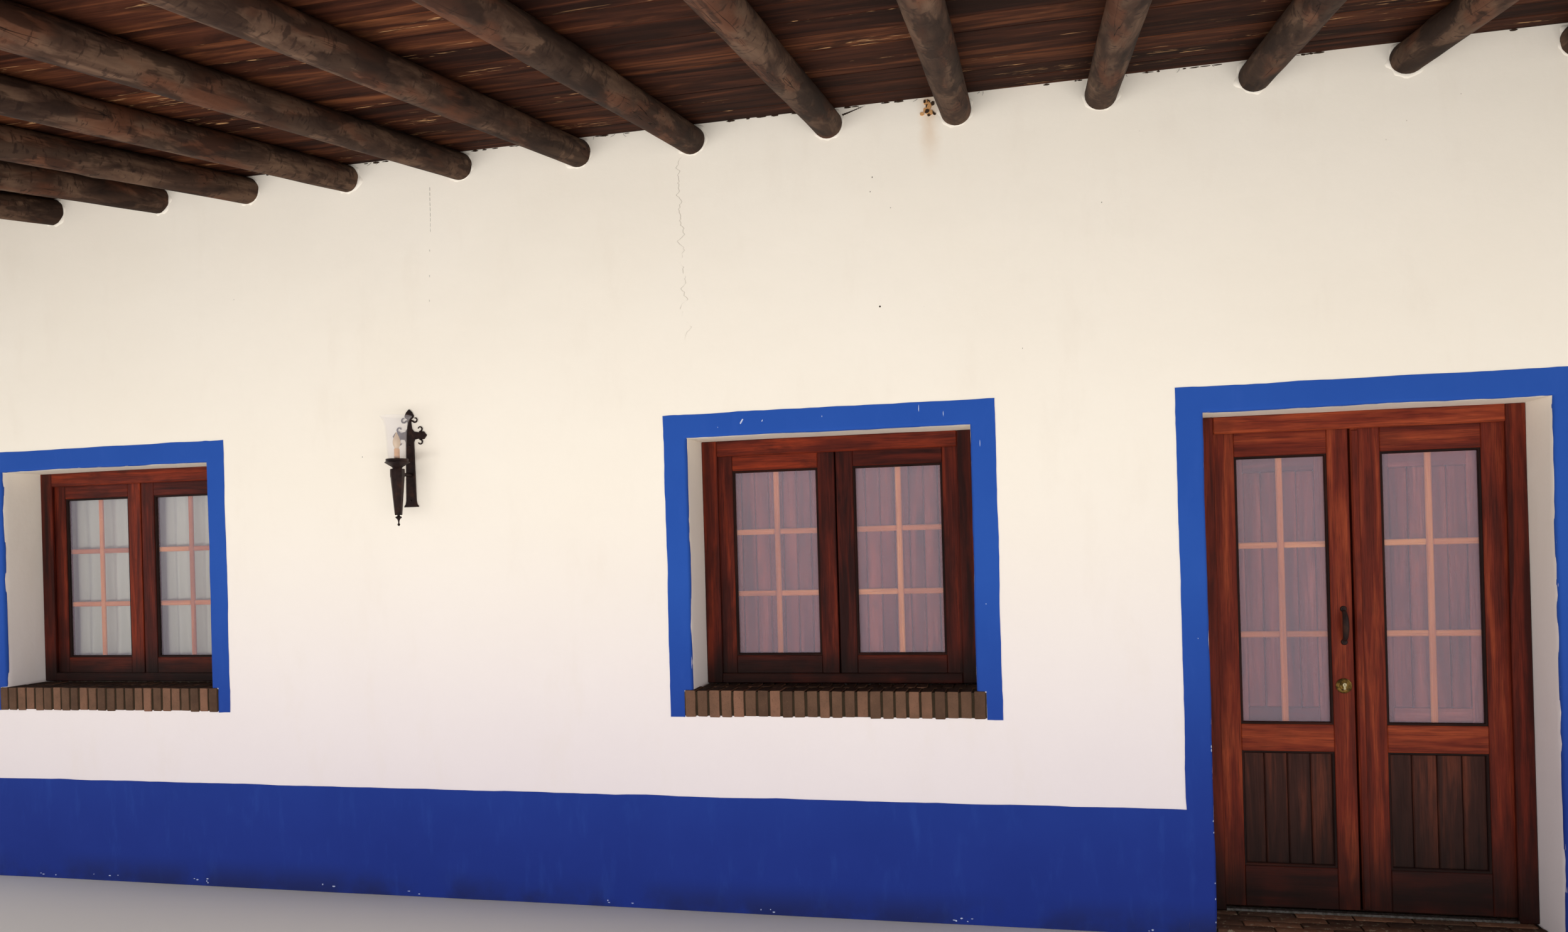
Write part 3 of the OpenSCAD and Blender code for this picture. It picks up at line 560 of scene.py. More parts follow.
def stained_board(name, dark, middle, light, bare):
    """Roughly stained roof boards, with long streaks, bare scratches and pale knots."""
    f = Finish(name, 0.78, Specular_IOR_Level=0.05)
    g = f.grain()
    streak = f.streaks(g, (1.2, 15, 15), 6, 0.62, 0.9)
    stain = f.streaks(g, (1.7, 5, 5), 4, 0.6, 1.3)
    fine = f.streaks(g, (5, 170, 170), 3, 0.6)
    value = f.plus(f.times(streak, 0.84), f.times(f.tone(), 0.16))
    colour = f.ramp(value, (0.36, dark), (0.52, middle), (0.70, light))
    colour = f.tint(colour, f.span(stain, 0.48, 0.66), 0.7, dark)
    colour = f.tint(colour, f.span(fine, 0.5, 0.33), 0.4, dark)
    knot = f.plus(f.cells(f.stretch(g, (2.3, 6.0, 0.0)), 1.0), f.times(f.noise(g, 40.0, 3), 0.06))
    some = f.span(f.streaks(g, (1.3, 3.0, 0), 1), 0.5, 0.54)
    ring = f.times(f.fade(knot, 0.075, 0.115), some)
    heart = f.times(f.fade(knot, 0.05, 0.065), some)
    scratch = f.span(f.streaks(g, (8, 95, 95), 3, 0.6, 0.5), 0.60, 0.67)
    scratch = f.times(scratch, f.span(f.streaks(g, (1.0, 9, 9), 1), 0.60, 0.68))
    colour = f.tint(colour, f.math("MAXIMUM", ring, scratch), 0.8, bare)
    colour = f.tint(colour, heart, 0.8, dark)
    f.bump(fine, 0.0008, 0.5)
    f.bump(streak, 0.002, 0.35)
    return f.done(colour)


def rafter_wood():
    """Rough-sawn rafters, grained along the slope."""
    f = Finish("rafter_wood", 0.85)
    p = f.place()
    streak = f.streaks(p, (28, 2.2, 14), 5, 0.6)
    colour = f.ramp(streak, (0.3, srgb(66, 50, 38)), (0.5, srgb(104, 82, 62)), (0.7, srgb(140, 114, 88)))
    f.bump(f.streaks(p, (3, 60, 3), 2), 0.001, 0.4)
    f.bump(streak, 0.002, 0.4)
    return f.done(colour)


def clay(name, dark, middle, light, moss=0.0, painted_top_shade=0.0, roughness=0.85):
    """Fired clay with a tone of its own for each piece, pitted and stained; upward faces may be darkened with
    painted shadow.
    """
    f = Finish(name, roughness)
    g = f.grain()
    cloud = f.noise(g, 11.0, 5, 0.6)
    grit = f.noise(g, 170.0, 3, 0.7)
    value = f.plus(f.times(f.tone(), 0.5), f.times(cloud, 0.5))
    colour = f.ramp(value, (0.25, dark), (0.5, middle), (0.75, light))
    colour = f.tint(colour, f.span(grit, 0.56, 0.68), 0.55, dark)
    colour = f.tint(colour, f.span(grit, 0.40, 0.30), 0.35, light)
    if moss:
        stain = f.span(f.noise(f.place(), 2.6, 5, 0.65), 0.48, 0.66, 0.0, moss)
        spots = f.times(f.span(f.noise(g, 38.0, 4, 0.7), 0.58, 0.64), moss)
        colour = f.mix(stain, colour, srgb(74, 62, 52))
        colour = f.mix(spots, colour, srgb(168, 162, 140))
    # Painted shadow: faces that look upward are darkened towards near black.
    if painted_top_shade:
        up = f.axis(f.node("NewGeometry", "Normal", {}), "Z")
        colour = f.mix(f.span(up, 0.6, 0.9, 0.0, painted_top_shade), colour, srgb(30, 22, 20))
    f.bump(cloud, 0.003, 0.5)
    f.bump(grit, 0.0012, 0.6)
    return f.done(colour)


def mortar(name, first, second):
    """Sandy mortar."""
    f = Finish(name, 0.95)
    p = f.place()
    cloud = f.noise(p, 9.0, 5, 0.65)
    grit = f.noise(p, 260.0, 3, 0.7)
    f.bump(grit, 0.0015, 0.6)
    f.bump(cloud, 0.004, 0.5)
    return f.done(f.tint(f.mix(cloud, first, second), f.span(grit, 0.55, 0.7), 0.5, srgb(80, 70, 60)))


def iron():
    """Forged iron, waxed nearly black, browned in patches."""
    f = Finish("iron", 0.5, Metallic=0.6, Specular_IOR_Level=0.3)
    p = f.place()
    cloud = f.noise(p, 30.0, 5, 0.6)
    colour = f.ramp(cloud, (0.3, srgb(38, 30, 30)), (0.55, srgb(58, 44, 42)), (0.75, srgb(88, 60, 48)))
    f.bump(f.cells(p, 85.0, "SMOOTH_F1"), 0.0012, 0.5)
    f.bump(f.noise(p, 400.0, 3), 0.0003, 0.5)
    return f.done(colour, f.span(cloud, 0.3, 0.7, 0.4, 0.68))


def metal(name, first, second, roughness):
    """Worn metal of one of two colours, with fine scratches."""
    f = Finish(name, roughness, Metallic=1.0)
    p = f.place()
    cloud = f.noise(p, 60.0, 4, 0.6)
    f.bump(f.noise(f.stretch(p, (1, 1, 9)), 300.0, 2), 0.0003, 0.4)
    colour = f.mix(f.span(cloud, 0.4, 0.62), first, second)
    return f.done(colour, f.span(cloud, 0.3, 0.7, roughness - 0.1, roughness + 0.15))


def glass(name, alpha, reflection_veil):
    """Glass with a pale veil of painted reflection, as it shows by day, and a little dust."""
    f = Finish(name, 0.03, IOR=1.52, Alpha=alpha, Specular_IOR_Level=0.5)
    p = f.place()
    # The base colour is painted reflection: a pale lilac veil, lighter in broad patches.
    colour = f.mix(f.noise(p, 1.4, 2), reflection_veil, srgb(232, 224, 238))
    dust = f.span(f.noise(p, 90.0, 4, 0.7), 0.58, 0.8, 0.0, 0.3)
    f.bump(f.noise(p, 2.5, 2), 0.0006, 0.3)
    return f.done(f.mix(dust, colour, srgb(225, 222, 216)), f.span(dust, 0.0, 0.3, 0.03, 0.12))


def cloth():
    """Thin white curtain with a fine weave."""
    f = Finish("curtain_cloth", 0.9, Sheen_Weight=0.2)
    p = f.place()
    warp, weft = (f.math("SINE", f.times(f.axis(p, axis), 5200)) for axis in "XZ")
    cloud = f.streaks(p, (6, 1, 0.8))
    f.bump(f.times(warp, weft), 0.0002, 0.5)
    return f.done(f.mix(cloud, srgb(166, 168, 152), srgb(208, 208, 194)))


def mottled(name, first, second, roughness, **sockets):
    """A plain material with a faint mottle."""
    f = Finish(name, roughness, **sockets)
    cloud = f.noise(f.place(), 140.0, 3)
    f.bump(cloud, 0.0002, 0.4)
    return f.done(f.mix(cloud, first, second))


LIMEWASH = limewash()
BLUE = blue_paint()
WINDOW_WOOD = timber(
    "window_wood", srgb(38, 14, 12), srgb(84, 28, 18), srgb(136, 50, 25), foot=(1.03, 1.2), patches=0.6
)
DOOR_WOOD = timber(
    "door_wood", srgb(52, 18, 14), srgb(104, 36, 22), srgb(154, 68, 38), foot=(0.08, 0.5), patches=0.35
)
PANEL_WOOD = timber(
    "panel_wood", srgb(36, 20, 17), srgb(60, 33, 27), srgb(104, 52, 36), 0.5, (0.1, 0.62), 0.3
)
SHUTTER_WOOD = timber("shutter_wood", srgb(70, 26, 22), srgb(118, 50, 40), srgb(156, 78, 60), 0.5)
PALE_WOOD = timber(
    "glazing_bar_wood", srgb(150, 80, 34), srgb(190, 108, 48), srgb(214, 138, 70), 0.5, patches=0.1
)
# The beads' near-black is dark wood deepened with painted shade of the recess round each pane.
DARK_BEAD_AND_SHADE = timber("bead_wood_and_painted_shade", srgb(18, 9, 8), srgb(36, 16, 12), srgb(66, 28, 18), 0.5)
RAFTER_WOOD = rafter_wood()
POLE_ENDED = [pole_wood(), pole_wood("pole_end", True)]
CEILING = stained_board(
    "ceiling_board", srgb(33, 17, 12), srgb(66, 35, 23), srgb(112, 66, 40), srgb(222, 172, 120)
)
ROOF_BOARD = stained_board(
    "roof_board", srgb(70, 52, 38), srgb(112, 86, 64), srgb(150, 120, 92), srgb(186, 150, 112)
)
TILE = clay("roof_tile", srgb(126, 66, 44), srgb(178, 98, 62), srgb(212, 144, 98), moss=0.55)
FLOOR_TILE = clay("floor_tile", srgb(128, 62, 42), srgb(158, 84, 58), srgb(182, 108, 76), roughness=0.6)
# The sill bricks' near-black tops are painted shadow.
SILL_BRICK = clay("sill_brick", srgb(80, 60, 48), srgb(104, 78, 62), srgb(134, 97, 78), painted_top_shade=0.8)
STEP_BRICK = clay("step_brick", srgb(52, 36, 30), srgb(80, 56, 44), srgb(112, 78, 60), moss=0.3)
JOINT = mortar("dark_joint", srgb(38, 30, 22), srgb(66, 54, 40))
MORTAR = mortar("roof_mortar", srgb(188, 170, 148), srgb(212, 198, 178))
IRON = iron()
BRASS = metal("brass", srgb(150, 118, 62), srgb(92, 72, 42), 0.35)
BRIGHT = metal("bright_key_cylinder", srgb(226, 214, 176), srgb(190, 172, 120), 0.25)
BAR_METAL = metal("weather_bar", srgb(150, 148, 144), srgb(112, 108, 102), 0.5)
# The lilac colour given to each glass is painted reflection.
GLASS = glass("pane_glass", 0.12, srgb(218, 206, 230))
LAMP_GLASS = glass("lamp_glass", 0.1, srgb(226, 224, 224))
CLOTH = cloth()
MARK_DARK = mottled("dark_marks", srgb(74, 58, 46), srgb(44, 34, 28), 0.9)
MARK_PALE = mottled("paint_chips", srgb(206, 212, 228), srgb(160, 176, 214), 0.9)
MARK_EARTH = mottled("bare_earth", srgb(228, 180, 124), srgb(176, 118, 68), 0.95)
BULB = mottled("bulb_glass", srgb(236, 214, 180), srgb(224, 190, 150), 0.08, Alpha=0.75)
SLEEVE = mottled("candle_sleeve", srgb(224, 176, 122), srgb(206, 150, 100), 0.5)


# Plastered walls

FRONT_L = 2 * HALF_L
SIDE_L = BACK - FACE
ROUND_L = 2 * (FRONT_L + SIDE_L)
CORNERS = [0, FRONT_L, FRONT_L + SIDE_L, 2 * FRONT_L + SIDE_L, ROUND_L]
HOLE_FOOT = SILL_Z - 0.012

# The paint: how far it stands out and reaches in, how its edges wander and its steps
PAINT_T = 0.0022
PAINT_ROOT = 0.004
HAND_PLAY = 0.0025
DADO_STEP = 0.05
BAND_STEP = 0.04

# Openings as their two places along the walk round the house, and their heights
HOLES = [
    (x - WIN_W / 2 + HALF_L, x + WIN_W / 2 + HALF_L, HOLE_FOOT, LINTEL_Z) for x in (LEFT_WIN_X, MID_WIN_X)
]
HOLES.append((DOOR_L + HALF_L, DOOR_R + HALF_L, 0.0, LINTEL_Z))
for window_x in (-BACK_WIN_X, BACK_WIN_X):
    middle_s = FRONT_L + SIDE_L + HALF_L - window_x
    HOLES.append((middle_s - WIN_W / 2, middle_s + WIN_W / 2, HOLE_FOOT, LINTEL_Z))


def walk(s):
    """Where a walk of length s round the house leads, and which way it faces there."""
    s = s % ROUND_L
    corner = Vector((-HALF_L, FACE))
    ahead = Vector((1, 0))
    for length in (FRONT_L, SIDE_L, FRONT_L, SIDE_L):
        out = Vector((ahead.y, -ahead.x))
        if s <= length + 1e-9:
            break
        corner = corner + ahead * length
        ahead = Vector((-ahead.y, ahead.x))
        s -= length
    turn = 0.0
    if s < CORNER_R:
        turn = -(1 - s / CORNER_R) * math.pi / 4
        pivot = corner + (ahead - out) * CORNER_R
    elif s > length - CORNER_R:
        turn = (1 - (length - s) / CORNER_R) * math.pi / 4
        pivot = corner + ahead * (length - CORNER_R) - out * CORNER_R
    if not turn:
        return corner + ahead * s, out
    facing = out * math.cos(turn) + ahead * math.sin(turn)
    return pivot + facing * CORNER_R, facing


def uneven(p):
    """How far hand-laid plaster stands out of true at a point."""
    broad = noise.noise(p * 0.8) * 0.005
    middle = noise.noise(p * 2.3 + Vector((7, 3, 1))) * 0.003
    fine = noise.noise(p * 6.0 + Vector((1, 9, 4))) * 0.0012
    return broad + middle + fine


def wander(p):
    """Sideways and upward play of hand-made edges at a point."""
    aside = noise.noise(p * 2.6 + Vector((31, 0, 5))) * 0.0035 + noise.noise(p * 9) * 0.0015
    up = noise.noise(p * 2.6 + Vector((5, 17, 31))) * 0.0035 + noise.noise(p * 9 + Vector((3, 3, 3))) * 0.0015
    return aside, up * min(1.0, p.z / 0.05)


def set_back(s, z):
    """How far the face falls back where it rounds into an opening."""
    deepest = 0.0
    for s0, s1, z0, z1 in HOLES:
        away = math.hypot(max(s0 - s, s - s1, 0.0), max(z0 - z, z - z1, 0.0))
        if away < ARRIS_R:
            deepest = ARRIS_R - math.sqrt(ARRIS_R ** 2 - (ARRIS_R - away) ** 2)
    return deepest


def outer(s, z, proud=0.0):
    """A point of the plastered face, given along the walk, in height and in front of it."""
    flat, _ = walk(s)
    aside, up = wander(Vector((flat.x, flat.y, z)))
    flat, facing = walk(s + aside)
    stand = uneven(Vector((flat.x, flat.y, z))) - set_back(s, z) + proud
    flat = flat + facing * stand
    return Vector((flat.x, flat.y, z + up))


def places(low, high, step, edges, beside=()):
    """Rising places about a step apart, with closer ones beside each edge."""
    fixed = sorted({low, high, *[e for e in edges if low < e < high]})
    close = [e + side * gap for e in edges for side in (-1, 1) for gap in beside]
    close = [c for c in close if low < c < high]
    found = set(fixed) | set(close)
    for a, b in zip(fixed, fixed[1:]):
        count = max(1, round((b - a) / step))
        for k in range(1, count):
            spot = a + (b - a) * k / count
            if all(abs(spot - c) > step * 0.2 for c in close):
                found.add(spot)
    return sorted(found)


def rounded(corners):
    """Places on the round of each corner of the house."""
    return [c + side * CORNER_R * part for c in corners for side in (-1, 1) for part in (0.33, 0.67, 1)]


def nearest(values, target):
    return min(range(len(values)), key=lambda k: abs(values[k] - target))


def roof_z(y):
    """Underside of the main roof's boards."""
    return EAVES_Z + (SIDE_L / 2 - abs(y - MID_Y)) * math.tan(ROOF_PITCH)


def plaster():
    """One closed coat of plaster: outer face, reveals, inner face, top and foot."""
    beside = (ARRIS_R * 0.15, ARRIS_R * 0.45, ARRIS_R, ARRIS_R * 3)
    inner_ends = [c + side * WALL_T for c in CORNERS for side in (-1, 1)]
    jambs = [s for hole in HOLES for s in hole[:2]]
    middles = [FRONT_L + SIDE_L / 2, ROUND_L - SIDE_L / 2]
    spots = set(places(0, ROUND_L, WALL_STEP, jambs, beside)) | set(CORNERS)
    spots |= {s for s in inner_ends + middles + rounded(CORNERS) if 0 < s < ROUND_L}
    spots = sorted(spots)
    line = [s for k, s in enumerate(spots) if k == 0 or s - spots[k - 1] > 1e-4][:-1]
    rows = places(0, EAVES_Z, WALL_STEP, [HOLE_FOOT, LINTEL_Z], beside)
    level = LINTEL_Z + 0.3

    def height(row, y):
        """A row's height at y. The rows above the level are spread up to the roof."""
        if row <= level:
            return row
        return level + (row - level) * (roof_z(y) - level) / (EAVES_Z - level)

    points = []
    faces = []
    grid = {}
    inside = {}
    columns = []
    inner_of = []
    for c, s in enumerate(line):
        flat, _ = walk(s)
        for j, row in enumerate(rows):
            grid[c, j] = len(points)
            points.append(tuple(outer(s, height(row, min(max(flat.y, FACE), BACK)))))
        x = round(min(max(flat.x, -HALF_L + WALL_T), HALF_L - WALL_T), 5)
        y = round(min(max(flat.y, INNER), BACK - WALL_T), 5)
        if (x, y) not in columns:
            columns.append((x, y))
            for j, row in enumerate(rows):
                z = height(row, y)
                inside[len(columns) - 1, j] = len(points)
                p = Vector((x, y, z))
                shift = uneven(p + Vector((0, 0, 20))) * 0.6
                inward = (Vector((0, MID_Y, z)) - p).normalized()
                points.append((p.x + inward.x * shift, p.y + inward.y * shift, z + wander(p)[1]))
        inner_of.append(columns.index((x, y)))
    count = len(line)
    last = len(rows) - 1
    open_cells = set()
    loops = []
    for s0, s1, z0, z1 in HOLES:
        c0, c1 = nearest(line, s0), nearest(line, s1)
        j0, j1 = nearest(rows, z0), nearest(rows, z1)
        open_cells |= {(c, j) for c in range(c0, c1) for j in range(j0, j1)}
        loop = [(c, j0) for c in range(c0, c1)] if z0 > 0 else []
        loop += [(c1, j) for j in range(j0, j1)]
        loop += [(c, j1) for c in range(c1, c0, -1)]
        loop += [(c0, j) for j in range(j1, j0, -1)]
        loops.append(loop + [(c0, j0)])
    for c in range(count):
        n = (c + 1) % count
        a, b = inner_of[c], inner_of[n]
        for j in range(last):
            if (c, j) in open_cells:
                continue
            faces.append((grid[c, j], grid[n, j], grid[n, j + 1], grid[c, j + 1]))
            if a != b:
                faces.append((inside[b, j], inside[a, j], inside[a, j + 1], inside[b, j + 1]))
        for j, flip in ((last, False), (0, True)):
            if j == 0 and (c, 0) in open_cells:
                continue
            cap = [grid[c, j], grid[n, j], inside[b, j]] + ([inside[a, j]] if a != b else [])
            faces.append(tuple(cap[::-1] if flip else cap))
    for loop in loops:
        ends = [(grid[c, j], inside[inner_of[c], j]) for c, j in loop]
        reveal(points, faces, ends)
    build = Build()
    build.add(points, faces)
    nodes = ["front_wall_left", "front_wall_right", "front_wall_over_door",
             "front_wall_head", "back_wall", "gable_walls"]
    build.make("wall_plaster", LIMEWASH, slot="limewash", replaces=nodes, sharp=50)


def reveal(points, faces, ends):
    """Joins the outer and inner faces through an opening, from outer and inner points."""
    chains = {}
    for first, last in ends:
        start, end = Vector(points[first]), Vector(points[last])
        chain = [first]
        for depth in (0.03, 0.09, REVEAL - 0.02, REVEAL + 0.075, 0.4):
            chain.append(len(points))
            points.append(tuple(start.lerp(end, depth / WALL_T)))
        chains[first] = chain + [last]
    for one, two in zip(ends, ends[1:]):
        a, b = chains[one[0]], chains[two[0]]
        for k in range(len(a) - 1):
            faces.append((a[k], b[k], b[k + 1], a[k + 1]))


def skin(name, columns, rows, covers, replaces):
    """A thin coat of blue over the cells that covers() names, with hand-drawn edges."""
    cells = {
        (i, j)
        for i in range(len(columns) - 1) for j in range(len(rows) - 1)
        if covers((columns[i] + columns[i + 1]) / 2, (rows[j] + rows[j + 1]) / 2)
    }
    around = {}
    for i, j in cells:
        for di, dj in SQUARE:
            around[i + di, j + dj] = around.get((i + di, j + dj), 0) + 1
    points = []
    faces = []
    index = {}
    for (i, j), touching in sorted(around.items()):
        s, z = columns[i], rows[j]
        flat, _ = walk(s)
        p = Vector((flat.x, flat.y, z))
        if touching < 4 and z > 0.001:
            slow = noise.noise(p * 5 + Vector((2, 8, 1)))
            quick = noise.noise(p * 31 + Vector((4, 1, 6)))
            z += (slow + 0.6 * quick) * HAND_PLAY
            s += (noise.noise(p * 5 + Vector((9, 2, 7))) + 0.6 * noise.noise(p * 31)) * HAND_PLAY
        index[i, j] = len(points)
        points += [outer(s, z, PAINT_T), outer(s, z, -PAINT_ROOT)]
    for i, j in sorted(cells):
        ring = [index[i + di, j + dj] for di, dj in SQUARE]
        faces += [tuple(ring), tuple(spot + 1 for spot in ring[::-1])]
        for k, beyond in enumerate(((i, j - 1), (i + 1, j), (i, j + 1), (i - 1, j))):
            if beyond not in cells:
                a, b = ring[k], ring[(k + 1) % 4]
                faces.append((b, a, a + 1, b + 1))
    build = Build()
    build.add(points, faces)
    build.make(name, BLUE, slot="blue_paint", replaces=replaces, sharp=50)


def paint():
    """The blue dado all round and the bands round the openings."""
    beside = (0.004, 0.009, 0.016)
    door0, door1 = DOOR_L + HALF_L, DOOR_R + HALF_L
    start = door1 + BAND_W
    end = ROUND_L + door0 - BAND_W
    columns = sorted({*places(start, end, DADO_STEP, CORNERS[1:]), *rounded(CORNERS[1:])})
    rows = places(0, DADO_Z, DADO_STEP, [DADO_Z - 0.01])
    skin("dado_paint", columns, rows, lambda s, z: True, ["dado"])
    head = LINTEL_Z + BAND_W
    columns = places(door0 - BAND_W, door1 + BAND_W, BAND_STEP, [door0, door1], beside)
    rows = places(0, head, BAND_STEP, [LINTEL_Z], beside)
    skin(
        "door_surround_paint", columns, rows,
        lambda s, z: not (door0 < s < door1 and z < LINTEL_Z), ["door_surround"],
    )
    for number, (s0, s1) in enumerate([hole[:2] for hole in HOLES if hole[2] > 0], 1):
        sill0, sill1 = s0 - SILL_EAR, s1 + SILL_EAR
        columns = places(s0 - BAND_W, s1 + BAND_W, BAND_STEP, [s0, s1, sill0, sill1], beside)
        rows = places(SILL_Z - BRICK_H, head, BAND_STEP, [LINTEL_Z, SILL_Z], beside)

        def covers(s, z, hole=(s0, s1), sill=(sill0, sill1)):
            in_hole = hole[0] < s < hole[1] and z < LINTEL_Z
            in_sill = sill[0] < s < sill[1] and z < SILL_Z
            return not in_hole and not in_sill

        skin(f"window_surround_paint_{number}", columns, rows, covers, ["window_surrounds"])


# Timber in the round

POLE_SWAY = [0, 12, 0, 62, 0, -15, 0, 15, -14, 30, 0, 15, 25, 0, 10, -8]
POLES_X = [(k - 7.5) * 0.575 + sway / 1000 for k, sway in enumerate(POLE_SWAY)]
PORCH_D = 4.2
POLE_R = 0.065
POLE_TAIL = 0.26
BOARD_REACH = PORCH_D + POLE_TAIL + 0.04
BEAM_R = 0.095
BEAM_Y = FACE - PORCH_D
BEAM_Z = (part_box("porch_beam")[0].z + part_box("porch_beam")[1].z) / 2
POST_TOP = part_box("porch_posts")[1].z
POST_R = 0.079
BOW = 0.006


def log(build, start, end, radius, sides=26, step=0.085):
    """Adds a peeled pole between two points, with a bow, swellings, knots and sawn ends."""
    rng = build.rng
    start = Vector(start)
    line = Vector(end) - start
    length = line.length
    turn = line.to_track_quat("Z", "Y").to_matrix()
    seed = Vector([rng.uniform(0, 90) for _ in range(3)])
    knots = [
        (rng.uniform(0, length), rng.uniform(0, 2 * math.pi), rng.uniform(0.015, 0.03))
        for _ in range(int(length * 1.6))
    ]
    count = max(3, round(length / step))
    heights = [0, 0.006] + [length * k / count for k in range(1, count)] + [length - 0.006, length]
    rings = []
    grain = []
    for height in heights:
        sway = [noise.noise(Vector((height * 0.45, *spot)) + seed) * BOW for spot in ((3, 8), (9, 2))]
        rings.append([])
        for angle in angles(sides):
            way = Vector((math.cos(angle), math.sin(angle), 0))
            swell = noise.noise(way * 0.7 + Vector((0, 0, height * 1.4)) + seed) * 0.045
            ripple = noise.noise(way * 2.6 + Vector((0, 0, height * 7.0)) + seed) * 0.018
            r = radius * (1 + swell + ripple)
            for knot_height, knot_angle, size in knots:
                far = (height - knot_height) ** 2 + (radius * math.sin((angle - knot_angle) / 2) * 2) ** 2
                if far < 9 * size * size:
                    r += 0.006 * math.exp(-far / (size * size))
            if height in (0, length):
                r -= 0.004
            rings[-1].append(start + turn @ (way * r + Vector((*sway, 0)) + Vector((0, 0, height))))
            grain.append((height + seed.x, way.x * r, way.y * r))
    first = len(build.points)
    build.loft(rings, grain, rng.random(), ends=False)
    for ring, flip in ((first, True), (len(build.points) - sides, False)):
        middle = len(build.points)
        mean = sum((Vector(p) for p in build.points[ring:ring + sides]), Vector()) / sides
        build.points.append(tuple(mean))
        build.grain.append((build.grain[ring][0], 0, 0))
        build.tone.append(0.5)
        for k in range(sides):
            a, b = ring + k, ring + (k + 1) % sides
            build.faces.append((b, a, middle) if flip else (a, b, middle))
            build.slots.append(1)


def porch_timbers():
    """Poles from the wall to past the beam, the beam, and its posts. Gives the poles' radii."""
    rng = random.Random(11)
    poles, beam, posts = (Build(rng) for _ in range(3))
    fall = math.tan(PORCH_PITCH)
    pole_radii = []
    for x in POLES_X:
        r = POLE_R * rng.uniform(0.955, 1.0)
        pole_radii.append(r)
        z = CEILING_Z - r / math.cos(PORCH_PITCH) - 0.001
        low_y = FACE - PORCH_D - POLE_TAIL + rng.uniform(0, 0.02)
        log(poles, (x, FACE + 0.2, z + 0.2 * fall), (x, low_y, z + (low_y - FACE) * fall), r)
    log(beam, (-HALF_L, BEAM_Y, BEAM_Z), (HALF_L, BEAM_Y, BEAM_Z), BEAM_R * 0.97, 30, 0.1)
    for x in (-4.5, -2.25, 0, 2.25, 4.5):
        log(posts, (x, BEAM_Y, 0), (x, BEAM_Y, POST_TOP), POST_R, 30, 0.08)
    for node, build in (("porch_poles", poles), ("porch_beam", beam), ("porch_posts", posts)):
        build.make(f"{node}_peeled", POLE_ENDED, slot="pole_wood", replaces=[node], sharp=60)
    return pole_radii


def pole_collars(radii):
    """Plaster worked up round each pole where it goes into the wall."""
    build = Build()
    tone = random.Random(23).random()
    profile = [
        (-0.006, 0.002), (0.002, 0.004), (0.008, 0.002), (0.014, -0.003), (0.012, -0.02), (-0.006, -0.02),
    ]
    for x, r in zip(POLES_X, radii):
        z = CEILING_Z - r / math.cos(PORCH_PITCH)
        rings = []
        for angle in angles(40):
            way = Vector((math.cos(angle), 0, math.sin(angle)))
            wide = max(0.15, 0.8 + 1.7 * noise.noise(way * 2.2 + Vector((x, 5, 5))))
            rings.append([])
            for aside, proud in profile:
                p = Vector((x, FACE, z)) + way * (r + (aside * wide if aside > 0 else aside))
                p.z = min(p.z, CEILING_Z - 0.001)
                stand = uneven(p) + (proud * wide if proud > 0 else proud)
                rings[-1].append((p.x, FACE - stand, p.z))
        build.loft(rings, tone=tone, ends=False, closed=True)
    build.make("pole_collars", LIMEWASH, slot="limewash", sharp=60)


# Roofs


def slope(y, z, pitch, turned=False):
    """The frame of a roof: x along its eave, y up the slope and z out of it."""
    plane = Matrix.Translation((0, y, z)) @ Matrix.Rotation(pitch, 4, "X")
    if turned:
        middle = Matrix.Translation((0, MID_Y, 0))
        plane = middle @ Matrix.Rotation(math.pi, 4, "Z") @ middle.inverted() @ plane
    return plane


EAVE = 0.13
PORCH_RUN = BOARD_REACH / math.cos(PORCH_PITCH)
MAIN_RUN = (SIDE_L / 2 + EAVE) / math.cos(ROOF_PITCH)
PORCH_PLANE = slope(FACE, CEILING_Z, PORCH_PITCH) @ Matrix.Translation((0, -PORCH_RUN, 0))
FRONT_PLANE, BACK_PLANE = (
    slope(FACE - EAVE, EAVES_Z - EAVE * math.tan(ROOF_PITCH), ROOF_PITCH, turned) for turned in (False, True)
)
BOARD_T = 0.022
TILE_T = 0.013
TILE_L = 0.42
TILE_STEP = 0.33
TILE_ROWS = 46
BED = 0.045

# Radii of a tile at its lower and its upper end
COVER_R = (0.074, 0.062)
CHANNEL_R = (0.07, 0.08)


def boarding(build, plane, run, width, joints):
    """Lays boards along a roof, a course at a time, with butt joints at some of the joints."""
    rng = build.rng
    build.place = plane
    courses = round(run / width)
    step = run / courses
    for course in range(courses):
        stops = [-VERGE_X]
        x = -VERGE_X + rng.uniform(0.8, 3.2)
        while x < VERGE_X - 0.7:
            stops.append(min(joints, key=lambda spot: abs(spot - x)))
            x = stops[-1] + rng.uniform(2.3, 4.0)
        stops = sorted({*stops, VERGE_X})
        foot = 0.0003 + rng.uniform(0, 0.0015)
        for a, b in zip(stops, stops[1:]):
            low = (a + 0.0008, course * step + 0.0012, foot)
            build.board(low, (b - 0.0008, (course + 1) * step - 0.0012, BOARD_T), 0)


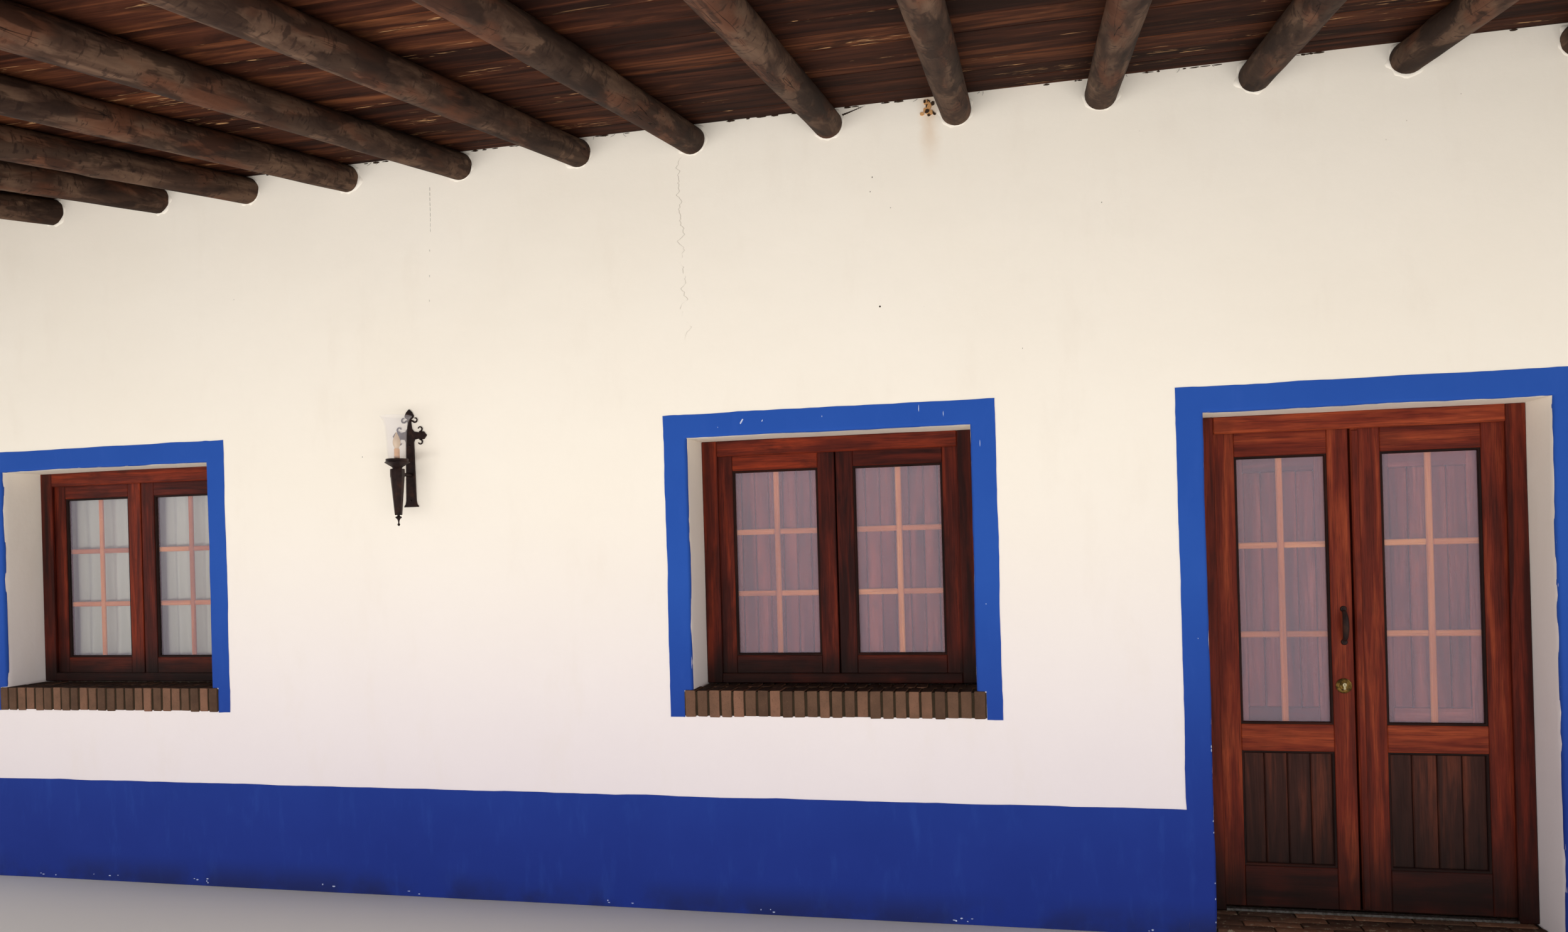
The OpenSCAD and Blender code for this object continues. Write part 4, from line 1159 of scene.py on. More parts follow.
def tiling(name, plane, run, node, rng):
    """Barrel tiles bedded in mortar: channels, and covers over the gaps between them."""
    tiles, bed = Build(rng, plane), Build(rng, plane)
    base = BOARD_T + 0.0008
    edge_x = VERGE_X - COVER_R[0] - 0.002
    pitch = 2 * edge_x / (TILE_ROWS - 1)
    courses = round((run - TILE_L) / TILE_STEP) + 1
    step = (run - 0.03 - TILE_L) / (courses - 1)
    section = [
        (-0.066, 0.0), (-0.070, BED - 0.004), (-0.05, 0.072), (0, 0.094),
        (0.05, 0.072), (0.070, BED - 0.004), (0.066, 0.0),
    ]
    for row in range(TILE_ROWS):
        x = -edge_x + row * pitch
        inner = 0 < row < TILE_ROWS - 1
        lean = rng.uniform(-0.003, 0.003)
        for course in range(courses):
            y = course * step + rng.uniform(-0.004, 0.004) + (0.001 if course else 0.005)
            aside = rng.uniform(-0.002, 0.002) if inner else 0
            rises = (base + BED, base + BED - 0.004)
            tiles.pipe(x + aside + lean * inner, y, TILE_L, COVER_R, rises, TILE_T, True, 9)
        ragged = [rng.uniform(0.006, 0.018) for _ in section]
        front = [(x + a, back, base + b) for back, (a, b) in zip(ragged, section)]
        bed.loft([front, [(x + a, run - 0.01, base + b) for a, b in section]])
    for row in range(TILE_ROWS - 1):
        x = -edge_x + (row + 0.5) * pitch
        for course in range(courses):
            y = course * step + rng.uniform(-0.003, 0.003) + (0.001 if course else 0.008)
            tiles.pipe(x, y, TILE_L, CHANNEL_R, (base + 0.0845, base + 0.089), TILE_T, False, 7)
    tiles.make(f"{name}_barrel_tiles", TILE, slot="roof_tile", replaces=[node], sharp=50)
    bed.make(f"{name}_mortar", MORTAR, slot="roof_tile", sharp=25)


def ridge():
    """Overlapping half-round ridge tiles on a mortar bed."""
    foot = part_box("ridge_tiles")[0].z
    turn = Matrix.Translation((0, MID_Y, foot)) @ Matrix.Rotation(-math.pi / 2, 4, "Z")
    tiles = Build(random.Random(5), turn)
    count, length = 25, 0.43
    step = (2 * VERGE_X - length) / (count - 1)
    for k in range(count):
        tiles.pipe(0, -VERGE_X + k * step, length, (0.1195, 0.103), (0.0, -0.003), 0.014, True, 14)
    tiles.make("ridge_barrel_tiles", TILE, slot="roof_tile", replaces=["ridge_tiles"], sharp=50)
    bed = Build()
    section = [
        (-0.104, 0.016), (-0.066, 0.052), (0, 0.078), (0.066, 0.052), (0.104, 0.016),
        (0.125, -0.02), (0.15, -0.085), (0, -0.03), (-0.15, -0.085), (-0.125, -0.02),
    ]
    sections = 120
    n = len(section)
    points = []
    faces = []
    for k in range(sections + 1):
        x = -VERGE_X + 0.012 + (2 * VERGE_X - 0.024) * k / sections
        a, b = k * n, (k + 1) * n
        for j, (dy, dz) in enumerate(section):
            rough = 1 + 0.12 * noise.noise(Vector((x * 7, dy * 30, dz * 9)))
            points.append((x, MID_Y + dy * rough, foot + dz * (rough if dz < 0 else 1)))
            if k < sections:
                i = (j + 1) % n
                faces.append((a + j, b + j, b + i, a + i))
    faces += [tuple(range(n)), tuple(range(sections * n, (sections + 1) * n))[::-1]]
    bed.add(points, faces)
    bed.make("ridge_mortar", MORTAR, slot="roof_tile", sharp=40)


def roofs():
    """Boards and tiles of the porch and the main roof, and the ridge."""
    rng = random.Random(7)
    ceiling, sheathing = Build(rng), Build(rng)
    boarding(ceiling, PORCH_PLANE, PORCH_RUN - 0.001, 0.185, POLES_X)
    ceiling.make("porch_ceiling_boards", CEILING, slot="roof_board", replaces=["porch_boards"])
    rafters_x = [(k - 4) * (FRONT_L - 2 * WALL_T - 0.09) / 8 for k in range(9)]
    for plane in (FRONT_PLANE, BACK_PLANE):
        boarding(sheathing, plane, MAIN_RUN - 0.01, 0.2, rafters_x)
    sheathing.make("main_roof_boards", ROOF_BOARD, slot="roof_board", replaces=["roof_boards"])
    tiling("porch", PORCH_PLANE, PORCH_RUN, "porch_tiles", rng)
    tiling("front_roof", FRONT_PLANE, MAIN_RUN, "front_roof_tiles", rng)
    tiling("back_roof", BACK_PLANE, MAIN_RUN, "back_roof_tiles", rng)
    ridge()


# Joinery

TOUCH = 0.0002
FRAME_W = 0.072
STOP_W = 0.06
FRAME_T = 0.07
LIP_T = 0.02

# A frame's lip and the stop behind it: width, front, back, edge and the tone of a door's head
FRAME_LAYERS = (
    (FRAME_W, REVEAL, REVEAL + LIP_T - TOUCH, 0.004, 0.9),
    (STOP_W, REVEAL + LIP_T, REVEAL + FRAME_T, 0.002, 0.6),
)
SASH_INSET = 0.0605
SASH_MEET = 0.0035
LIGHT_X = (0.0815, 0.485)
LIGHT_FOOT = SILL_Z + 0.125
LIGHT_HEAD = LINTEL_Z - 0.14
LEAF_Y = 0.255
LEAF_T = 0.045
LEAF_FOOT = FLOOR_Z + 0.015
LEAF_HEAD = LINTEL_Z - 0.066
PANE_FOOT = 0.815
PANE_HEAD = LINTEL_Z - 0.17
PANEL_FOOT = 0.221
PANEL_HEAD = 0.703
BEAD = [(0, 0.002), (0.007, 0.002), (0.0105, 0.006), (0.0105, 0.0148), (0, 0.0148)]


def front_place(x):
    return Matrix.Translation((x, FACE, 0))


def back_place(x):
    return Matrix.Translation((x, BACK, 0)) @ Matrix.Rotation(math.pi, 4, "Z")


WINDOW_PLACES = [
    front_place(LEFT_WIN_X), front_place(MID_WIN_X), back_place(-BACK_WIN_X), back_place(BACK_WIN_X),
]


def mitred(build, light, y):
    """Runs a bead round the inside of a light, mitred at its corners."""
    x0, x1, z0, z1 = light
    corners = [(x0, z0, 1, 1), (x1, z0, -1, 1), (x1, z1, -1, -1), (x0, z1, 1, -1)]
    for k in range(4):
        shift = build.rng.uniform(0, 40)
        rings = []
        grain = []
        for x, z, dx, dz in (corners[k], corners[(k + 1) % 4]):
            rings.append([Vector((x + dx * inset, depth + y, z + dz * inset)) for inset, depth in BEAD])
            grain += [(shift + (z if k % 2 else x), inset + shift, depth + y) for inset, depth in BEAD]
        build.loft(rings, grain, 0.4)


def wood_ring(build, around, light, y0, y1, edge=0.002):
    """Stiles and rails round a light. Both are given as x0, x1, z0, z1."""
    x0, x1, z0, z1 = around
    lx0, lx1, lz0, lz1 = light
    build.board((x0, y0, z0), (lx0, y1, z1), 2, edge)
    build.board((lx1, y0, z0), (x1, y1, z1), 2, edge)
    for a, b in ((z0, lz0), (lz1, z1)):
        build.board((lx0 + TOUCH, y0 + TOUCH, a), (lx1 - TOUCH, y1 - TOUCH, b), 0, edge)


def glazing_bars(build, light, y):
    """One upright and two crossing bars behind a pane."""
    x0, x1, z0, z1 = light
    middle = (x0 + x1) / 2
    half = 0.013
    back = y + 0.014
    build.board((middle - half, y, z0), (middle + half, back, z1), 2, 0.004)
    for part in (1, 2):
        z = z0 + (z1 - z0) * part / 3
        for a, b in ((x0, middle - half - TOUCH), (middle + half + TOUCH, x1)):
            build.board((a, y + TOUCH, z - half), (b, back - TOUCH, z + half), 0, 0.004)


def boarded_shutter(build, around, y):
    """A framed shutter with narrow grooved boards in it, 18 mm thick."""
    x0, x1, z0, z1 = around
    lx0, lx1, lz0, lz1 = light = (x0 + 0.06, x1 - 0.06, z0 + 0.085, z1 - 0.085)
    wood_ring(build, around, light, y + TOUCH, y + 0.018, 0.0025)
    count = max(3, round((lx1 - lx0) / 0.065))
    step = (lx1 - lx0) / count
    for k in range(count):
        a = lx0 + k * step
        high = (a + step - 0.0012, y + 0.015, lz1 - TOUCH)
        tone = 0.3 + 0.4 * build.rng.random()
        build.board((a + 0.0012, y + 0.002, lz0 + TOUCH), high, 2, 0.005, tone)


def windows():
    """Frames, sashes with their beads and glazing bars, and inner shutters."""
    rng = random.Random(3)
    frames, sashes, beads, bars, shutters = builds = [Build(rng) for _ in range(5)]
    w = WIN_W / 2
    stop_y = REVEAL + LIP_T
    edge_x = w - SASH_INSET
    near, far = LIGHT_X
    sides = (((-edge_x, -SASH_MEET), (-far, -near)), ((SASH_MEET, edge_x), (near, far)))
    for number, place in enumerate(WINDOW_PLACES):
        for build in builds:
            build.place = place
        for (wide, y0, y1, edge, _), rise in zip(FRAME_LAYERS, (0.045, 0.033)):
            light = (-w + wide, w - wide, SILL_Z + rise, LINTEL_Z - wide)
            wood_ring(frames, (-w, w, SILL_Z, LINTEL_Z), light, y0, y1, edge)
        for edges, across in sides:
            light = (*across, LIGHT_FOOT, LIGHT_HEAD)
            around = (*edges, SILL_Z + 0.0335, LINTEL_Z - SASH_INSET)
            wood_ring(sashes, around, light, stop_y + TOUCH, stop_y + LEAF_T, 0.003)
            mitred(beads, light, stop_y + 0.004)
            glazing_bars(bars, light, stop_y + 0.026)
        if number > 0:
            for edges in ((-0.585, -0.002), (0.002, 0.585)):
                boarded_shutter(shutters, (*edges, SILL_Z + 0.013, LINTEL_Z - 0.04), REVEAL + FRAME_T)
    frames.make("window_frames_joined", WINDOW_WOOD, slot="joinery", replaces=["window_frames"])
    sashes.make("window_sashes_joined", WINDOW_WOOD, slot="joinery", replaces=["window_sashes"])
    beads.make("window_beads", DARK_BEAD_AND_SHADE, slot="joinery")
    bars.make("window_glazing_bars", PALE_WOOD, slot="joinery")
    shutters.make("window_shutters_boarded", SHUTTER_WOOD, slot="shutter_board", replaces=["window_shutters"])


def door():
    """Door frame, and two leaves with a pane over a boarded panel."""
    rng = random.Random(4)
    wood = Build(rng, front_place(0))
    for wide, y0, y1, edge, _ in FRAME_LAYERS:
        for a, b in ((DOOR_L, DOOR_L + wide), (DOOR_R - wide, DOOR_R)):
            wood.board((a, y0, FLOOR_Z), (b, y1, LINTEL_Z), 2, edge)
    for wide, y0, y1, edge, tone in FRAME_LAYERS:
        low = (DOOR_L + wide + TOUCH, y0, LINTEL_Z - wide)
        wood.board(low, (DOOR_R - wide - TOUCH, y1, LINTEL_Z), 0, edge, tone)
    wood.make("door_frame_joined", DOOR_WOOD, slot="joinery", replaces=["door_frame"])
    leaf_l, leaf_r = DOOR_L + FRAME_W, DOOR_R - FRAME_W
    meet = leaf_l + 0.524
    leaf("left", leaf_l - 0.006, meet, leaf_l + 0.082, meet - 0.082, rng)
    meet += 0.009
    leaf("right", meet, leaf_r + 0.006, meet + 0.11, leaf_r - 0.082, rng)
    strip = Build(rng, front_place(0))
    low = (meet + 0.002, LEAF_Y - 0.008, LEAF_FOOT + 0.006)
    strip.board(low, (meet + 0.028, LEAF_Y - TOUCH, LEAF_HEAD - 0.012), 2, 0.003, 0.5)
    strip.make("cover_strip_wood", DOOR_WOOD, "right_door_leaf", "joinery", ["cover_strip"])


def leaf(side, x0, x1, lx0, lx1, rng):
    """One door leaf, with its panel, beads, glazing bars and inner shutter."""
    body = f"{side}_door_leaf"
    wood, panel, beads, bars, shutter = (Build(rng, front_place(0)) for _ in range(5))
    y0, y1 = LEAF_Y, LEAF_Y + LEAF_T
    for a, b in ((x0, lx0), (lx1, x1)):
        wood.board((a, y0, LEAF_FOOT), (b, y1, LEAF_HEAD), 2, 0.003)
    rails = ((LEAF_FOOT, PANEL_FOOT, 0.0), (PANEL_HEAD, PANE_FOOT, 0.75), (PANE_HEAD, LEAF_HEAD, 0.5))
    for a, b, tone in rails:
        wood.board((lx0 + TOUCH, y0 + TOUCH, a), (lx1 - TOUCH, y1 - TOUCH, b), 0, 0.003, tone)
    wood.make(f"{side}_leaf_joined", DOOR_WOOD, body, "joinery", [f"{side}_leaf"])
    step = (lx1 - lx0) / 4
    for k in range(4):
        a = lx0 + k * step - (0.008 if k == 0 else 0)
        b = lx0 + (k + 1) * step + (0.008 if k == 3 else 0)
        high = (b - 0.001, y0 + 0.038, PANEL_HEAD + 0.008)
        panel.board((a + 0.001, y0 + 0.02, PANEL_FOOT - 0.008), high, 2, 0.0045, rng.uniform(0.35, 0.6))
    panel.make(f"{side}_leaf_boards", PANEL_WOOD, body, "door_panel", [f"{side}_leaf_panel"])
    pane = (lx0, lx1, PANE_FOOT, PANE_HEAD)
    mitred(beads, pane, y0 + 0.004)
    mitred(beads, (lx0, lx1, PANEL_FOOT, PANEL_HEAD), y0 + 0.0045)
    beads.make(f"{side}_leaf_beads", DARK_BEAD_AND_SHADE, body, "joinery")
    glazing_bars(bars, pane, y0 + 0.026)
    bars.make(f"{side}_leaf_glazing_bars", PALE_WOOD, body, "joinery")
    boarded_shutter(shutter, (lx0 - 0.02, lx1 + 0.02, PANE_FOOT - 0.02, PANE_HEAD + 0.02), y1)
    shutter.make(f"{side}_leaf_shutter_boards", SHUTTER_WOOD, body, "shutter_board", [f"{side}_leaf_shutter"])


# Brick and floor tiles


def sills():
    """Bricks on edge under each window: a front row past the jambs, and a row behind it."""
    rng = random.Random(8)
    bricks, joints = Build(rng), Build(rng)
    rows = ((WIN_W / 2 + SILL_EAR, -0.010, 0.114, 24), (WIN_W / 2, 0.119, REVEAL - 0.001, 23))
    for place in WINDOW_PLACES:
        bricks.place = joints.place = place
        for half, y0, y1, count in rows:
            step = 2 * half / count
            for k in range(count):
                a = -half + k * step
                shift = -uneven(place @ Vector((a + step / 2, 0, SILL_Z - 0.06))) if y0 < 0 else 0.0
                low_z = SILL_Z - BRICK_H + rng.uniform(-0.001, 0.006)
                high_z = SILL_Z - rng.uniform(0, 0.0025)
                low = (a + 0.005 + rng.uniform(-0.0015, 0.0015), y0 + shift + rng.uniform(0, 0.003), low_z)
                high = (a + step - 0.005 + rng.uniform(-0.0015, 0.0015), y1, high_z)
                bricks.block(low, high, 0.0016)
                low = (a, y0 + shift + 0.006, SILL_Z - BRICK_H + 0.006)
                joints.board(low, (a + step, y1 + 0.002, SILL_Z - 0.007), 0, 0.0005, 0.5)
    bricks.make("sill_bricks", SILL_BRICK, slot="sill_brick", replaces=["window_sills"], sharp=40)
    joints.make("sill_joints", JOINT, slot="sill_brick")


def threshold():
    """Bricks on edge across the doorway, in courses with broken joints."""
    rng = random.Random(9)
    bricks, joints = (Build(rng, front_place(0)) for _ in range(2))
    rows = 8
    step = WALL_T / rows
    for row in range(rows):
        x = DOOR_L - (0.11 if row % 2 else 0.0)
        while x < DOOR_R:
            a, b = max(x, DOOR_L), min(x + 0.222, DOOR_R)
            if b - a > 0.03:
                high = (b - 0.003, (row + 1) * step - 0.003, FLOOR_Z - rng.uniform(0, 0.002))
                bricks.block((a + 0.003, row * step + 0.003, 0.001), high, 0.0012)
            x += 0.222
    joints.board((DOOR_L + 0.001, 0.004, 0.0), (DOOR_R - 0.001, WALL_T, FLOOR_Z - 0.007), 0, 0.001, 0.5)
    bricks.make("threshold_bricks", STEP_BRICK, slot="threshold_brick", replaces=["threshold"], sharp=40)
    joints.make("threshold_joints", JOINT, slot="threshold_brick")


def floor():
    """Square clay tiles on a bed."""
    rng = random.Random(10)
    tiles, bed = Build(rng), Build(rng)
    x0, x1 = -HALF_L + WALL_T, HALF_L - WALL_T
    y0, y1 = INNER, BACK - WALL_T
    across, deep = round((x1 - x0) / 0.3), round((y1 - y0) / 0.3)
    wide, long = (x1 - x0) / across, (y1 - y0) / deep
    for i in range(across):
        for j in range(deep):
            a, b = x0 + (x1 - x0) * i / across, y0 + (y1 - y0) * j / deep
            high = (a + wide - 0.003, b + long - 0.003, FLOOR_Z - rng.uniform(0, 0.001))
            tiles.board((a + 0.003, b + 0.003, FLOOR_Z - 0.02), high, 0, 0.003)
    bed.board((x0, y0, 0), (x1, y1, FLOOR_Z - 0.004), 0, 0.001, 0.5)
    tiles.make("floor_clay_tiles", FLOOR_TILE, slot="floor_tile", replaces=["floor_slab"])
    bed.make("floor_bed", MORTAR, slot="floor_tile")


# Metalwork

LAMP_X = -1.156
LAMP_Y = FACE - 0.115
LAMP_Z = 1.845
TORCH_Z = LAMP_Z - 0.09
CUP_Z = TORCH_Z + 0.302
CURL_R = 0.0125
CURL_TIP_R = 0.0085
CURL_TURNS = 0.72
OUTWARD = Matrix.Rotation(math.pi / 2, 4, "X")


def cut_plate(build, outline, y0, y1, edge, place):
    """Adds a flat forged plate with softened front edges. The outline is in x and z."""
    n = len(outline)
    inset = []
    for k in range(n):
        a, b, c = (Vector(outline[(k + d) % n]) for d in (-1, 0, 1))
        first, second = (b - a).normalized(), (c - b).normalized()
        way = Vector((-(first + second).y, (first + second).x))
        way = way.normalized() if way.length > 1e-6 else Vector((-first.y, first.x))
        inset.append(b + way * edge)
    rings = [[(x, y, z) for x, z in outline] for y in (y1, y0 + edge)] + [[(p.x, y0, p.y) for p in inset]]
    build.loft([[place @ Vector(p) for p in ring] for ring in rings])


def curl(build, base, centre, start, side):
    """Adds a small forged scroll in the plane of the wall, from a base round a centre."""
    path = [base]
    for k in range(23):
        share = k / 22
        angle = start + side * CURL_TURNS * 2 * math.pi * share
        r = CURL_R + (CURL_TIP_R - CURL_R) * share
        path.append(Vector((centre[0] + r * math.cos(angle), centre[1], centre[2] + r * math.sin(angle))))
    build.tube(path, [0.0042 - 0.0018 * k / len(path) for k in range(len(path))], 10)


def lamp():
    """Forged torch lamp: back plate with curls, faceted torch, glass chimney and bulb."""
    plate = Build()
    arm = 0.337
    right = [
        (0.037, 0.0), (0.037, 0.005), (0.030, 0.014), (0.0265, 0.03), (0.0255, 0.05), (0.0225, 0.2),
        (0.0205, arm - 0.03), (0.026, arm - 0.018), (0.052, arm - 0.014), (0.060, arm - 0.019),
        (0.075, arm - 0.018), (0.089, arm), (0.075, arm + 0.018), (0.060, arm + 0.019),
        (0.052, arm + 0.014), (0.022, arm + 0.02), (0.012, arm + 0.034), (0.0085, arm + 0.06),
        (0.0095, 0.415), (0.0215, 0.423), (0.0235, 0.432), (0.014, 0.450), (0.0, 0.463),
    ]
    outline = right + [(-x, z) for x, z in right[-2::-1]]
    cut_plate(plate, outline, -0.009, 0.006, 0.0022, Matrix.Translation((LAMP_X, FACE, LAMP_Z)))
    for side in (-1, 1):
        for up in (-1, 1):
            base = Vector((LAMP_X + side * 0.052, FACE - 0.004, LAMP_Z + arm + up * 0.012))
            centre = (base.x + side * 0.002, base.y, base.z + up * 0.019)
            curl(plate, base, centre, -up * math.pi / 2, side * up)
        base = Vector((LAMP_X + side * 0.010, FACE - 0.004, LAMP_Z + 0.409))
        centre = (LAMP_X + side * 0.030, base.y, base.z + 0.003)
        curl(plate, base, centre, math.pi * (1.15 if side > 0 else -0.15), side)
    stay_z = LAMP_Z + 0.15
    stay = ((0.004, stay_z), (0.03, stay_z + 0.002), (0.086, stay_z))
    plate.tube([(LAMP_X, FACE - out, z) for out, z in stay], [0.011, 0.0085, 0.0085], 14)
    rivet = [(0, -0.003), (0.0055, -0.003), (0.0055, 0.0), (0.004, 0.002), (0.0, 0.003)]
    for z in (0.03, 0.29):
        plate.lathe((LAMP_X, FACE - 0.009, LAMP_Z + z), rivet, 16, turn=OUTWARD)
    plate.make("lamp_plate_forged", IRON, slot="iron", replaces=["lamp_bracket"], sharp=40)

    torch = Build()
    centre = (LAMP_X, LAMP_Y, TORCH_Z)
    finial = [
        (0, 0), (0.004, 0.0015), (0.0062, 0.006), (0.0055, 0.010), (0.003, 0.013), (0.0035, 0.022),
        (0.006, 0.031), (0.0135, 0.038), (0.015, 0.041), (0.012, 0.044), (0.006, 0.047), (0.006, 0.053),
        (0, 0.053),
    ]
    torch.lathe(centre, finial, 28)
    shaft = [
        (0, 0.051), (0.016, 0.051), (0.017, 0.053), (0.0315, 0.226), (0.033, 0.229), (0.033, 0.262),
        (0.0315, 0.265), (0, 0.265),
    ]
    torch.lathe(centre, shaft, 8, turn=Matrix.Rotation(math.pi / 8, 4, "Z"))
    cup = [
        (0, 0.262), (0.022, 0.262), (0.021, 0.270), (0.0265, 0.275), (0.050, 0.290), (0.0562, 0.2935),
        (0.0562, 0.2955), (0.0525, 0.298), (0.0505, 0.300), (0.0505, 0.311), (0.0438, 0.311),
        (0.0438, 0.3025), (0, 0.3025),
    ]
    torch.lathe(centre, cup, 48)
    torch.make("lamp_torch_forged", IRON, slot="iron", replaces=["lamp_torch"], sharp=38)

    chimney = Build()
    outside = [
        (0.041, 0.0), (0.0415, 0.02), (0.0435, 0.07), (0.046, 0.12), (0.050, 0.16), (0.057, 0.186),
        (0.0665, 0.200), (0.0705, 0.2045), (0.0713, 0.2065), (0.070, 0.2078),
    ]
    within = [(r - 0.0028, z) for r, z in outside[-2::-1]]
    chimney.lathe((LAMP_X, LAMP_Y, CUP_Z + 0.0006), outside + within + outside[:1], 56)
    chimney.make("lamp_chimney", LAMP_GLASS, slot="glass", replaces=["lamp_glass"], sharp=60)

    bulb = Build()
    sleeve = [(0, 0.001), (0.0125, 0.001), (0.0125, 0.054), (0.0115, 0.057), (0.0, 0.057)]
    flame = [
        (0, 0.0575), (0.009, 0.0575), (0.0095, 0.061), (0.0145, 0.070), (0.0175, 0.081), (0.0172, 0.092),
        (0.0138, 0.105), (0.0085, 0.118), (0.0038, 0.128), (0.0012, 0.1335), (0, 0.134),
    ]
    bulb.lathe((LAMP_X, LAMP_Y, CUP_Z), sleeve, 32, slot=1)
    bulb.lathe((LAMP_X, LAMP_Y, CUP_Z), flame, 32)
    bulb.make("lamp_candle_bulb", [BULB, SLEEVE], slot="bulb", replaces=["lamp_bulb"], sharp=50)


def door_furniture():
    """Bowed iron pull and brass lock rose with its key cylinder."""
    x, y, z = 2.946, FACE + LEAF_Y, 1.226
    pull = Build()
    foot = [
        (0, 0), (0.0128, 0), (0.0128, 0.003), (0.0105, 0.0065), (0.0062, 0.007), (0.0055, 0.0095),
        (0.003, 0.0108), (0, 0.011),
    ]
    for end in (-1, 1):
        pull.lathe((x, y, z + end * 0.068), foot, 28, turn=OUTWARD)
    path = []
    radii = []
    for k in range(29):
        share = k / 28
        bow = math.sin(math.pi * share) ** 0.45 if 0 < share < 1 else 0
        path.append((x, y - 0.003 - 0.031 * bow, z + (-0.060 + 0.120 * share)))
        radii.append(0.0070 + 0.0055 * math.sin(math.pi * share) ** 0.6)
    pull.tube(path, radii, 16)
    pull.make("door_pull_forged", IRON, "left_door_leaf", "iron", ["door_handle"], sharp=45)
    lock = Build(random.Random(1))
    x, z = 2.940, 0.977
    rose = [
        (0, 0), (0.031, 0), (0.031, 0.0025), (0.0295, 0.0042), (0.0265, 0.0048), (0.0245, 0.0036),
        (0.0175, 0.0036), (0.0160, 0.0056), (0.0115, 0.0060), (0, 0.0060),
    ]
    lock.lathe((x, y, z), rose, 56, turn=OUTWARD)
    nose = [(0, 0.004), (0.0084, 0.004), (0.0084, 0.0150), (0.0078, 0.0158), (0, 0.0158)]
    lock.lathe((x, y, z + 0.005), nose, 36, slot=1, turn=OUTWARD)
    lock.board((x - 0.0048, y - 0.0152, 0.9615), (x + 0.0048, y - 0.004, 0.976), 2, 0.001, 0.5, 1)
    lock.board((x - 0.0009, y - 0.0161, 0.9775), (x + 0.0009, y - 0.0150, 0.9865), 2, 0.0002, 0.5, 2)
    lock.make("door_lock_rose", [BRASS, BRIGHT, IRON], "left_door_leaf", "brass", ["door_lock"], sharp=40)


# Curtains


def curtains():
    """Two thin gathered curtains inside the left window."""
    rod_y = FACE + REVEAL + FRAME_T + 0.045
    low_z, high_z = SILL_Z + 0.013, LINTEL_Z - 0.036 - 0.0065
    across, down = 110, 26
    n = across + 1
    for name, side, seed in (("left", -1, 5), ("right", 1, 9)):
        points = []
        faces = []
        for j in range(down + 1):
            drop = j / down
            for i in range(n):
                share = i / across
                x = LEFT_WIN_X + side * (0.007 + 0.596 * share)
                x -= side * 0.03 * drop * (1 - drop) * share
                wave = math.sin(share * 44 + 1.4 * noise.noise(Vector((share * 5, drop * 1.2, seed))))
                crease = 0.003 * noise.noise(Vector((share * 16, drop * 5, seed)))
                deep = 0.0125 * wave * (0.55 + 0.45 * drop) + crease
                points.append((x, rod_y + deep, high_z + (low_z - high_z) * drop))
                if i < across and j < down:
                    a = j * n + i
                    face = (a, a + 1, a + n + 1, a + n)
                    faces.append(face if side < 0 else (a, a + n, a + n + 1, a + 1))
        build = Build()
        build.add(points, faces)
        piece = build.make(f"{name}_curtain", CLOTH, slot="curtain", replaces=["curtains"], sharp=80)
        solid = piece.modifiers.new("thickness", "SOLIDIFY")
        solid.thickness = 0.0012


# Marks of age, and a painted shadow gap under the ceiling

ON_PAINT = PAINT_T + 0.0005


def fleck(build, x, z, wide, tall, proud, slot=0, lean=0.0):
    """Adds a small ragged patch that lies on the front wall."""
    rings = []
    for layer in (proud, -0.002):
        rings.append([])
        for angle in angles(11):
            r = 0.5 * build.rng.uniform(0.7, 1.1) if layer > 0 else 0.5
            u, v = wide * r * math.cos(angle), tall * r * math.sin(angle)
            rings[-1].append(outer(x + u + v * lean + HALF_L, z + v, layer))
    build.loft(rings, slot=slot, flip=True)


def between_poles(x, clear):
    """Whether a place along the wall is clear of every pole."""
    return min(abs(x - pole) for pole in POLES_X) > POLE_R + clear


